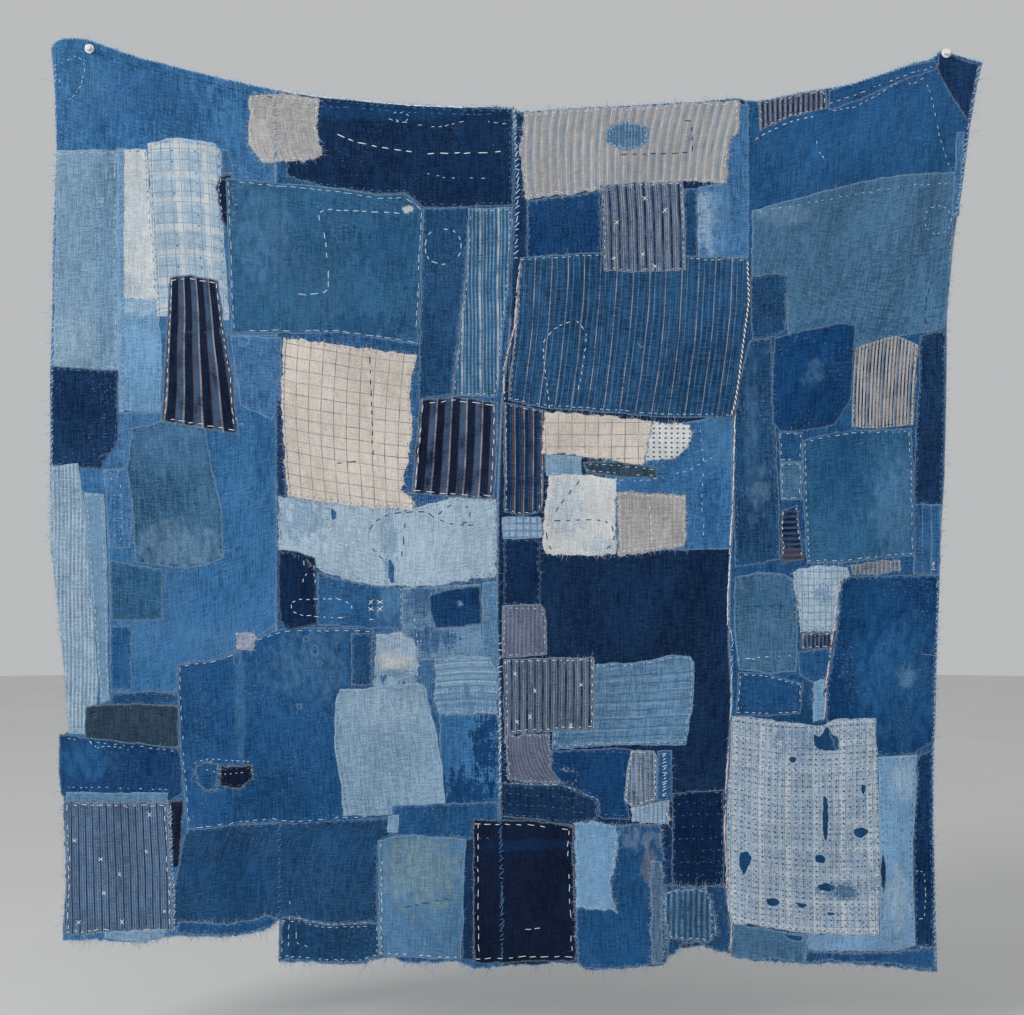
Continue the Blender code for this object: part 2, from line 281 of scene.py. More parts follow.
def world_x(chart_x: np.ndarray) -> np.ndarray:
    """Metres to the right of the origin, for a chart x."""
    return (chart_x - CHART_ORIGIN.x) * SQUARE


def world_z(chart_y: np.ndarray) -> np.ndarray:
    """Metres above the origin, for a chart y."""
    return (CHART_ORIGIN.y - chart_y) * SQUARE


def eased(value: np.ndarray) -> np.ndarray:
    """Eases from 0 to 1 as the value passes from 0 to 1."""
    bounded = np.clip(value, 0.0, 1.0)
    return bounded * bounded * (3.0 - 2.0 * bounded)


class Dye(Enum):
    """The colours of the cloths, as red, green and blue from 0 to 255."""

    MILK = (196, 200, 202)
    CREAM = (200, 190, 180)
    OAT = (160, 158, 158)
    ICE = (153, 175, 193)
    CLOUD = (134, 158, 182)
    HAZE = (113, 146, 173)
    SKY = (106, 147, 183)
    SAGE = (110, 136, 146)
    STEEL = (74, 116, 153)
    GREY_BLUE = (60, 100, 134)
    WASHED = (44, 98, 147)
    TEAL_BLUE = (40, 86, 122)
    MID = (25, 74, 121)
    INK = (22, 62, 101)
    DEEP = (10, 54, 99)
    NAVY = (12, 42, 79)
    MIDNIGHT = (6, 32, 66)
    BLACK_NAVY = (10, 21, 46)
    OLIVE = (40, 60, 76)
    SLATE = (66, 88, 118)
    MAUVE = (94, 104, 126)
    TAN = (150, 145, 145)
    BROWN = (80, 72, 80)
    PINK = (136, 142, 168)


class Thread(Enum):
    """The colours of the threads, as red, green and blue from 0 to 255."""

    WHITE = (225, 225, 225)
    ICE = (180, 202, 220)
    NAVY = (24, 44, 84)
    BLUE = (70, 122, 172)
    TAN = (170, 152, 134)
    PINK = (206, 186, 186)
    BROWN = (100, 80, 75)


class Rim(Enum):
    """How a cloth's edge is finished."""

    TURNED = "turned"
    RAW = "raw"


class Facing(Enum):
    """Which way a cloth's bands run."""

    UPRIGHT = "upright"
    LEVEL = "level"


@dataclass(frozen=True)
class Band:
    """Woven lines that repeat over a cloth: pitch, width and shift in squares."""

    pitch: float
    width: float
    dye: Dye
    shift: float = 0.0
    facing: Facing = Facing.UPRIGHT
    strength: float = 0.8
    soft: float = 0.5


@dataclass(frozen=True)
class Dots:
    """Small spots that repeat over a cloth, in squares."""

    across: float
    down: float
    radius: float
    dye: Dye
    strength: float = 0.9
    missing: float = 0.0


@dataclass(frozen=True)
class Spot:
    """One place on the chart, in squares: worn, faded or stained, and in two cases painted light on a
    fold.
    """

    x: float
    y: float
    reach_x: float
    reach_y: float
    dye: Dye
    strength: float = 0.5
    ragged: float = 0.5


@dataclass(frozen=True)
class Cotton:
    """How a cloth is dyed and worn.

    fading is how far the light threads go towards the pale dye, slub how strongly the threads
    differ, specks how much white shows through, and rub how pale the edges are.
    """

    ground: Dye
    pale: Dye = Dye.CLOUD
    fading: float = 0.2
    slub: float = 1.0
    specks: float = 0.3
    rub: float = 0.35
    bands: tuple[Band, ...] = ()
    dots: tuple[Dots, ...] = ()
    spots: tuple[Spot, ...] = ()


@dataclass(frozen=True)
class Sewing:
    """A running stitch that goes round a patch: thread, and inset, dash and gap in squares."""

    thread: Thread = Thread.BLUE
    inset: float = 2.4
    dash: float = 3.4
    gap: float = 3.4
    sides: str = "TRBL"


@dataclass(frozen=True)
class Rows:
    """Rows of running stitches all over a patch, in squares."""

    thread: Thread
    spacing: float
    facing: Facing = Facing.LEVEL
    dash: float = 2.6
    gap: float = 5.0


@dataclass(frozen=True)
class Patch:
    """One patch: its cloth, its outline clockwise from top left, and its four corners."""

    name: str
    cotton: Cotton
    outline: tuple[Place, ...]
    corners: tuple[int, ...] = (0, 1, 2, 3)
    rim: Rim = Rim.TURNED
    sewing: tuple[Sewing, ...] = (Sewing(),)
    rows: tuple[Rows, ...] = ()
    holes: tuple[tuple[Place, ...], ...] = ()
    step: float = PATCH_STEP


@dataclass(frozen=True)
class Line:
    """A free line of running stitches on the chart. Dark ones have a dash and gap of their own."""

    thread: Thread
    points: tuple[Place, ...]
    dash: float = 4.0
    gap: float = 3.2
    radius: float = THREAD_RADIUS


class Fray(NamedTuple):
    """How an edge frays: its thread, fibres to a square and their mean length in squares."""

    thread: Thread
    density: float
    length: float


TOP_FRAYS = (Fray(Thread.ICE, 1.1, 2.6),)
FOOT_FRAYS = (Fray(Thread.ICE, 0.8, 3.4), Fray(Thread.BLUE, 0.8, 3.6))
SELVEDGE_FRAYS = (Fray(Thread.ICE, 0.35, 2.4), Fray(Thread.BLUE, 0.35, 3.2))
TURNED_FRAYS = (Fray(Thread.ICE, 0.1, 2.0),)
RAW_FRAYS = (Fray(Thread.ICE, 0.6, 2.6), Fray(Thread.BLUE, 0.3, 2.8))
RAW_LIGHT_FRAYS = (Fray(Thread.WHITE, 0.6, 2.6), Fray(Thread.BLUE, 0.3, 2.8))
LIGHT_CLOTH = 450


@dataclass(frozen=True)
class Overcast:
    """Short slanting stitches over a seam or an edge, in squares."""

    thread: Thread
    points: tuple[Place, ...]
    pitch: float = 4.0
    reach: float = 3.0
    slant: float = 1.2
    radius: float = THREAD_RADIUS


def linear(dye: Dye | Thread, lighter: float = 1.0) -> tuple[float, float, float, float]:
    """Turns a named colour into the linear values that sockets hold.

    Args:
        dye: The named colour.
        lighter: A factor on its linear values.

    Returns:
        Red, green, blue and an alpha of 1.
    """
    if isinstance(dye, Dye):
        lighter *= DYE_UNDER_LIGHT
    shares = [value / 255 for value in dye.value]
    values = [((s + 0.055) / 1.055) ** 2.4 if s > 0.04045 else s / 12.92 for s in shares]
    return (*(min(1.0, value * lighter) for value in values), 1.0)


class Field:
    """A node's output that changes over a surface, with the operators that shading uses."""

    def __init__(self, bench: "Bench", socket: bpy.types.NodeSocket) -> None:
        """Keeps the bench that adds nodes and the socket."""
        self.bench = bench
        self.socket = socket

    def _maths(self, operation: str, left: object, right: object) -> "Field":
        """Adds a Math node between two values or fields."""
        return self.bench.node("ShaderNodeMath", {"operation": operation}, {0: left, 1: right})

    def __add__(self, other: object) -> "Field":
        """Adds."""
        return self._maths("ADD", self, other)

    __radd__ = __add__

    def __mul__(self, other: object) -> "Field":
        """Multiplies."""
        return self._maths("MULTIPLY", self, other)

    def __sub__(self, other: object) -> "Field":
        """Takes the other from this."""
        return self._maths("SUBTRACT", self, other)

    def __truediv__(self, other: object) -> "Field":
        """Divides by the other."""
        return self._maths("DIVIDE", self, other)


class Grain(NamedTuple):
    """A noise over a cloth: how fine it is across and down, its start and its finer layers."""

    fine: tuple[float, float]
    start: float
    detail: float


WARP = Grain((0.72, 0.04), 0.0, 1.5)
WEFT = Grain((0.075, 0.85), 9.1, 1.5)
GRAIN = Grain((0.8, 0.62), 4.3, 1.0)
BLOTCH = Grain((0.15, 0.08), 2.7, 4.0)
FADE = Grain((0.016, 0.009), 6.2, 2.0)
SWAY = Grain((0.014, 0.011), 1.9, 1.0)
WEAR = Grain((0.06, 0.045), 5.5, 3.0)
DOT_LOSS = Grain((0.21, 0.17), 8.4, 1.0)
SPECKS = Grain((0.42, 0.42), 11.3, 3.0)
SPECKLED = Grain((0.03, 0.02), 7.7, 3.0)
TORN = Grain((0.13, 0.07), 3.3, 4.0)

# How much each noise counts for how light a thread is and how high it stands.
# THREAD_MIDDLE, a little below both threads' weights together, sets the mean lightness.
WARP_WEIGHT = 2.0
WEFT_WEIGHT = 1.9
THREAD_MIDDLE = 3.8
GRAIN_WEIGHT = 2.0
GRAIN_HEIGHT = 1.4
BLOTCH_WEIGHT = 1.2
FADE_WEIGHT = 1.3
SWAY_REACH = 3.0


class Bench:
    """A material under construction, and the one place that adds its nodes."""

    def __init__(self, name: str) -> None:
        """Starts a material that holds only its shader and its output."""
        self.material = bpy.data.materials.new(name)
        self.material.use_nodes = True
        self.tree = self.material.node_tree
        self.shader = self.tree.nodes["Principled BSDF"]

    def node(
        self, kind: str, settings: dict | None = None, values: dict | None = None,
        output: int | str = 0,
    ) -> Field:
        """Adds a node, its settings first and then the values or links of its sockets.

        Args:
            kind: The node's type.
            settings: Its own choices, by name.
            values: What each input socket holds or is linked to, by name or number.
            output: Which output is wanted.

        Returns:
            The output as a field.
        """
        made = self.tree.nodes.new(kind)
        for name, choice in (settings or {}).items():
            setattr(made, name, choice)
        for key, value in (values or {}).items():
            if isinstance(value, Field):
                self.tree.links.new(value.socket, made.inputs[key])
            else:
                made.inputs[key].default_value = value
        return Field(self, made.outputs[output])

    def coordinates(self, output: str) -> Field:
        """One of Texture Coordinate's outputs."""
        return self.node("ShaderNodeTexCoord", output=output)

    def placed(self, vector: Field, scale: tuple, shift: tuple) -> Field:
        """A vector scaled and then shifted, each by three numbers."""
        return self.node(
            "ShaderNodeVectorMath", {"operation": "MULTIPLY_ADD"}, {0: vector, 1: scale, 2: shift}
        )

    def parts(self, vector: Field) -> tuple[Field, Field, Field]:
        """The three numbers of a vector."""
        first = self.node("ShaderNodeSeparateXYZ", values={0: vector})
        outputs = first.socket.node.outputs
        return first, Field(self, outputs[1]), Field(self, outputs[2])

    def noise(self, vector: Field, grain: Grain, seed: float) -> Field:
        """Soft noise over two of a vector's directions.

        Args:
            vector: The coordinates.
            grain: The kind of noise.
            seed: What sets one cloth's noise apart from another's.

        Returns:
            A field about 0.5.
        """
        start = seed + grain.start
        place = self.placed(vector, (*grain.fine, 0.0), (start, start * 1.7, 0.0))
        return self.node(
            "ShaderNodeTexNoise", {"noise_dimensions": "2D"},
            {"Vector": place, "Scale": 1.0, "Detail": grain.detail, "Roughness": 0.6},
        )

    def cloud(self, fineness: float, detail: float) -> Field:
        """Noise all through a piece.

        Args:
            fineness: How many of its coarsest waves there are to a metre.
            detail: How many finer layers it has.

        Returns:
            A field about 0.5.
        """
        place = self.placed(self.coordinates("Object"), (fineness,) * 3, (0.0,) * 3)
        return self.node(
            "ShaderNodeTexNoise", {"noise_dimensions": "3D"},
            {"Vector": place, "Scale": 1.0, "Detail": detail},
        )

    def repeat(self, line: Field, pitch: float) -> Field:
        """How far each place is from the nearest of the lines that repeat with a pitch."""
        return self.node("ShaderNodeMath", {"operation": "PINGPONG"}, {0: line, 1: pitch / 2})

    def ease(self, value: Field, low: float, high: float) -> Field:
        """Eases from 0 to 1 as the value passes from low to high, or falls if low is above."""
        return self.node(
            "ShaderNodeMapRange", {"interpolation_type": "SMOOTHSTEP"},
            {"Value": value, "From Min": low, "From Max": high, "To Min": 0.0, "To Max": 1.0},
        )

    def blend(self, under: object, over: object, share: object) -> Field:
        """Mixes two colours by a share from 0 to 1."""
        return self.node(
            "ShaderNodeMix", {"data_type": "RGBA"}, {0: share, 6: under, 7: over}, output=2
        )

    def finish(self, sockets: dict) -> bpy.types.Material:
        """Sets or links the shader's sockets.

        Args:
            sockets: What each socket of the shader holds or is linked to.

        Returns:
            The material.
        """
        for name, value in sockets.items():
            if isinstance(value, Field):
                self.tree.links.new(value.socket, self.shader.inputs[name])
            else:
                self.shader.inputs[name].default_value = value
        return self.material


@dataclass(frozen=True)
class CottonFinish:
    """Worn plain-woven cotton: uneven threads, bands, dots, spots, rubbed edges and slubs."""

    cotton: Cotton
    seed: float

    def material(self, name: str) -> bpy.types.Material:
        """Makes the cloth's material.

        Args:
            name: The material's name.

        Returns:
            The material.
        """
        bench = Bench(name)
        weave = bench.placed(
            bench.coordinates("UV"), (1 / SQUARE, 1 / SQUARE, 0.0), (0.0, 0.0, 0.0)
        )
        level, grain = self._threads(bench, weave)
        colour = bench.blend(linear(self.cotton.ground, 1 - self._swing()), self._light(), level)
        colour = self._woven(bench, weave, colour, level)
        colour = self._wear_and_painted_light(bench, weave, colour, level)
        bump = bench.node(
            "ShaderNodeBump", values={"Strength": 0.7, "Distance": 0.0006, "Height": grain}
        )
        return bench.finish({
            "Base Color": colour, "Normal": bump, "Roughness": 0.95,
            "Specular IOR Level": 0.04, "Sheen Weight": 0.03, "Sheen Roughness": 0.6,
        })

    def _swing(self) -> float:
        """How far the threads' colours differ, which is less on a light cloth."""
        return 0.5 - 0.34 * sum(self.cotton.ground.value) / 765

    def _light(self) -> tuple[float, ...]:
        """The colour of the most worn threads, between the ground and the pale dye."""
        ground = linear(self.cotton.ground, 1 + self._swing())
        pale = linear(self.cotton.pale)
        share = 0.7 * self.cotton.fading
        return tuple(low + share * (high - low) for low, high in zip(ground, pale))

    def _threads(self, bench: Bench, weave: Field) -> tuple[Field, Field]:
        """Works out how light each thread is and how high it stands.

        Args:
            bench: The material under construction.
            weave: The cloth's own coordinates, in squares.

        Returns:
            The lightness, about 0.5, and the height for the bump.
        """
        warp, weft, grain, blotch, fade = (
            bench.noise(weave, kind, self.seed) for kind in (WARP, WEFT, GRAIN, BLOTCH, FADE)
        )
        slub = self.cotton.slub
        thread = warp * (WARP_WEIGHT * slub) + weft * (WEFT_WEIGHT * slub)
        level = thread + grain * GRAIN_WEIGHT + blotch * BLOTCH_WEIGHT + fade * FADE_WEIGHT
        middle = 0.5 * (THREAD_MIDDLE * slub + GRAIN_WEIGHT + BLOTCH_WEIGHT + FADE_WEIGHT)
        level = level - (middle - 0.5)
        height = thread + grain * GRAIN_HEIGHT + blotch * BLOTCH_WEIGHT
        return bench.ease(level, -0.4, 1.4), height

    def _woven(self, bench: Bench, weave: Field, colour: Field, level: Field) -> Field:
        """Lays the cloth's bands and dots over its ground colour."""
        if not self.cotton.bands and not self.cotton.dots:
            return colour
        across, down, _ = bench.parts(weave)
        sway = bench.noise(weave, SWAY, self.seed) - 0.5
        across = across + sway * SWAY_REACH
        down = down + sway * SWAY_REACH
        faded = bench.noise(weave, WEAR, self.seed) - 0.5
        worn = 0.5 + level * 0.8 + faded * 2.4
        for band in self.cotton.bands:
            line = across if band.facing is Facing.UPRIGHT else down
            off = bench.repeat(line - band.shift, band.pitch)
            half = band.width / 2
            share = bench.ease(off, half + band.soft / 2, half - band.soft / 2)
            colour = bench.blend(colour, linear(band.dye), share * worn * band.strength)
        for dots in self.cotton.dots:
            side = bench.repeat(across, dots.across)
            rise = bench.repeat(down, dots.down)
            away = bench.node(
                "ShaderNodeMath", {"operation": "SQRT"}, {0: side * side + rise * rise}
            )
            share = bench.ease(away, dots.radius + 0.4, dots.radius - 0.4)
            here = bench.noise(weave, DOT_LOSS, self.seed)
            share = share * bench.ease(here, dots.missing - 0.06, dots.missing + 0.06)
            colour = bench.blend(colour, linear(dots.dye), share * dots.strength)
        return colour

    def _wear_and_painted_light(self, bench: Bench, weave: Field, colour: Field, level: Field) -> Field:
        """Adds white specks, rubbed edges and the spots that lie on the chart, two of them painted light.
        """
        cotton = self.cotton
        grain = bench.noise(weave, SPECKS, self.seed)
        patchy = bench.noise(weave, SPECKLED, self.seed)
        if cotton.specks:
            share = bench.ease(grain, 0.56, 0.76) * bench.ease(patchy, 0.42, 0.66)
            colour = bench.blend(colour, linear(Dye.CLOUD), share * cotton.specks)
        edge = bench.node("ShaderNodeAttribute", {"attribute_name": "edge"}, output="Fac")
        rubbed = bench.ease(edge + grain * 3.0, 3.6, 1.4)
        colour = bench.blend(colour, linear(Dye.ICE), rubbed * cotton.rub)
        if not cotton.spots:
            return colour
        shift = (CHART_ORIGIN.x, 0.0, CHART_ORIGIN.y)
        chart = bench.placed(
            bench.coordinates("Object"), (1 / SQUARE, 0.0, -1 / SQUARE), shift
        )
        across, _, down = bench.parts(chart)
        torn = bench.noise(weave, TORN, self.seed)
        torn = (torn - 0.5) * 4.6 + (level - 0.5) * 1.1 + (grain - 0.5) * 1.6
        for spot in cotton.spots:
            side = (across - spot.x) / spot.reach_x
            rise = (down - spot.y) / spot.reach_y
            away = side * side + rise * rise + torn * spot.ragged
            share = bench.ease(away, 1.3, 0.7) * spot.strength
            # A spot's colour: a stain or fade, and for the two lighter spots below the right pin, painted
            # light on its folds.
            stain_and_painted_light = bench.blend(linear(spot.dye, 0.68), linear(spot.dye, 1.32), level)
            colour = bench.blend(colour, stain_and_painted_light, share)
        return colour


@dataclass(frozen=True)
class ThreadFinish:
    """Cotton thread: one colour that changes a little along its twist."""

    thread: Thread
    twist: float = 420.0

    def material(self, name: str) -> bpy.types.Material:
        """Makes the thread's material.

        Args:
            name: The material's name.

        Returns:
            The material.
        """
        bench = Bench(name)
        twist = bench.cloud(self.twist, 2.0)
        colour = bench.blend(linear(self.thread, 0.6), linear(self.thread, 1.2), twist)
        bump = bench.node(
            "ShaderNodeBump", values={"Strength": 0.4, "Distance": 0.0002, "Height": twist}
        )
        return bench.finish({
            "Base Color": colour, "Normal": bump, "Roughness": 0.85,
            "Specular IOR Level": 0.2, "Sheen Weight": 0.15,
        })


@dataclass(frozen=True)
class HardFinish:
    """Moulded plastic or drawn steel, with faint marks in its gloss."""

    colour: tuple[float, float, float]
    roughness: float
    metallic: float = 0.0
    transmission: float = 0.0
    marks: float = 900.0

    def material(self, name: str) -> bpy.types.Material:
        """Makes the hard piece's material.

        Args:
            name: The material's name.

        Returns:
            The material.
        """
        bench = Bench(name)
        wear = bench.cloud(self.marks, 3.0)
        full = (*self.colour, 1.0)
        dull = (*(value * 0.86 for value in self.colour), 1.0)
        return bench.finish({
            "Base Color": bench.blend(full, dull, wear),
            "Roughness": wear * 0.16 + (self.roughness - 0.08),
            "Metallic": self.metallic, "Transmission Weight": self.transmission, "IOR": 1.49,
        })


PIN_PLASTIC = HardFinish((0.84, 0.84, 0.82), 0.16, transmission=0.25)
PIN_STEEL = HardFinish((0.72, 0.72, 0.70), 0.26, metallic=1.0, marks=2400.0)


def deselect_all() -> None:
    """Leaves nothing selected, so that the next operator acts on its own piece alone."""
    for item in bpy.context.selected_objects:
        item.select_set(False)


def hold(piece: bpy.types.Object) -> None:
    """Selects one piece alone and makes it active."""
    deselect_all()
    piece.select_set(True)
    bpy.context.view_layer.objects.active = piece


def soften(line: np.ndarray, passes: int) -> np.ndarray:
    """Rounds a dense line's bends, its two ends kept.

    Args:
        line: Points in order, a row each.
        passes: How often each point moves towards its neighbours.

    Returns:
        The softened line.
    """
    eased_line = line.copy()
    for _ in range(passes):
        eased_line[1:-1] = 0.25 * eased_line[:-2] + 0.5 * eased_line[1:-1] + 0.25 * eased_line[2:]
    return eased_line


def directions(steps: np.ndarray) -> np.ndarray:
    """Brings each step along a line on the chart to a length of 1."""
    return steps / (np.hypot(*steps.T)[:, None] + 1e-9)


def square_to(along: np.ndarray) -> np.ndarray:
    """Turns directions by a quarter, to the right of the way."""
    return np.stack([-along[:, 1], along[:, 0]], axis=1)


class Run:
    """A dense line on the chart, read by its share of the way along."""

    def __init__(self, points: np.ndarray) -> None:
        """Measures the line."""
        self.points = points
        steps = np.hypot(*np.diff(points, axis=0).T)
        self.arc = np.concatenate(([0.0], np.cumsum(steps)))
        self.length = float(self.arc[-1])

    @classmethod
    def through(cls, places: list[Place], spacing: float = 1.6, passes: int = 3) -> "Run":
        """Draws a softened line through places.

        Args:
            places: The places, in order.
            spacing: The distance between its dense points, in squares.
            passes: How often its bends are rounded.

        Returns:
            The line.
        """
        rough = cls(np.array([tuple(place) for place in places], float))
        count = max(2, round(rough.length / spacing) + 1)
        return cls(soften(rough.at(np.linspace(0.0, 1.0, count)), passes))

    def at(self, shares: np.ndarray) -> np.ndarray:
        """Points at shares of the way along, a row each."""
        reach = np.asarray(shares) * self.length
        return np.stack([np.interp(reach, self.arc, self.points[:, k]) for k in (0, 1)], axis=1)

    def wavered(self, amount: float, passes: int, draws: np.random.Generator) -> "Run":
        """Makes the line as uneven as a hand-turned or frayed edge.

        Args:
            amount: How far it strays, in squares.
            passes: How soft its waves are.
            draws: The source of chance.

        Returns:
            The uneven line.
        """
        count = len(self.points)
        if count < 4:
            return self
        stray = soften(draws.normal(0.0, 1.0, (count, 1)), passes)[:, 0]
        stray *= amount / (stray.std() + 1e-6)
        window = np.clip(np.minimum(np.arange(count), np.arange(count)[::-1]) / 3.0, 0.0, 1.0)
        across = square_to(directions(np.gradient(self.points, axis=0)))
        return Run(self.points + across * (stray * window)[:, None])


class Outline:
    """A cloth's edge: four sides clockwise from its top left corner."""

    def __init__(self, sides: list[Run]) -> None:
        """Keeps the sides: top, right, bottom and left, each run clockwise."""
        self.sides = sides
        self.ring = np.concatenate([side.points[:-1] for side in sides])

    @classmethod
    def of_patch(cls, patch: Patch, draws: np.random.Generator) -> "Outline":
        """Draws a patch's outline through its points.

        Args:
            patch: The patch.
            draws: The source of chance for its unevenness.

        Returns:
            The outline.
        """
        points = patch.outline
        count = len(points)
        amount, passes = RAW_STRAY if patch.rim is Rim.RAW else TURNED_STRAY
        sides = []
        for start, stop in zip(patch.corners, (*patch.corners[1:], patch.corners[0])):
            places = [points[(start + k) % count] for k in range((stop - start) % count + 1)]
            sides.append(Run.through(places).wavered(amount, passes, draws))
        return cls(sides)

    def grid(self, across: np.ndarray, down: np.ndarray) -> np.ndarray:
        """Spreads a grid between the four sides.

        Args:
            across: Shares of the way from the left side to the right.
            down: Shares of the way from the top side to the bottom.

        Returns:
            Chart points, by row and column.
        """
        top = self.sides[0].at(across)[None]
        bottom = self.sides[2].at(1.0 - across)[None]
        right = self.sides[1].at(down)[:, None]
        left = self.sides[3].at(1.0 - down)[:, None]
        u = across[None, :, None]
        v = down[:, None, None]
        corners = (1 - v) * ((1 - u) * top[:, :1] + u * top[:, -1:])
        corners = corners + v * ((1 - u) * bottom[:, :1] + u * bottom[:, -1:])
        return (1 - v) * top + v * bottom + (1 - u) * left + u * right - corners

    def width(self) -> float:
        """The mean length of the top and bottom sides, in squares."""
        return (self.sides[0].length + self.sides[2].length) / 2

    def height(self) -> float:
        """The mean length of the left and right sides, in squares."""
        return (self.sides[1].length + self.sides[3].length) / 2

    def area(self) -> float:
        """The area inside the edge, in square squares."""
        x, y = self.ring.T
        return abs(float(x @ np.roll(y, -1) - y @ np.roll(x, -1))) / 2


def depth_inside(ring_points: np.ndarray, x: np.ndarray, y: np.ndarray) -> np.ndarray:
    """The distance of chart points from a closed line, in squares.

    Args:
        ring_points: The closed line's points, a row each.
        x: The points' x.
        y: The points' y.

    Returns:
        The distances, in the shape of x.
    """
    nearest = np.full(x.shape, FAR)
    for near, far in zip(ring_points, np.roll(ring_points, -1, axis=0)):
        run = far - near
        along = ((x - near[0]) * run[0] + (y - near[1]) * run[1]) / (run @ run + 1e-9)
        share = np.clip(along, 0.0, 1.0)
        off = (x - near[0] - share * run[0]) ** 2 + (y - near[1] - share * run[1]) ** 2
        np.minimum(nearest, off, out=nearest)
    return np.sqrt(nearest)


def lies_inside(ring_points: np.ndarray, x: np.ndarray, y: np.ndarray) -> np.ndarray:
    """Tells which chart points lie inside a closed line.

    Args:
        ring_points: The closed line's points, a row each.
        x: The points' x.
        y: The points' y.

    Returns:
        True or false, in the shape of x.
    """
    inside = np.zeros(x.shape, bool)
    for near, far in zip(ring_points, np.roll(ring_points, -1, axis=0)):
        if near[1] == far[1]:
            continue
        spans = (near[1] > y) != (far[1] > y)
        crossing = near[0] + (y - near[1]) * (far[0] - near[0]) / (far[1] - near[1])
        inside ^= spans & (x < crossing)
    return inside


def spread(layer: np.ndarray, highest: bool) -> np.ndarray:
    """Gives each cell the highest, or the mean, of itself and its neighbours."""
    padded = np.pad(layer, 1, mode="edge")
    shifted = [
        padded[1 + j: 1 + j + layer.shape[0], 1 + k: 1 + k + layer.shape[1]]
        for j in (-1, 0, 1) for k in (-1, 0, 1)
    ]
    return np.max(shifted, axis=0) if highest else np.mean(shifted, axis=0)


@dataclass
class Bed:
    """What lies under a patch: the height of the stack in a box of the chart."""

    left: int
    top: int
    layer: np.ndarray


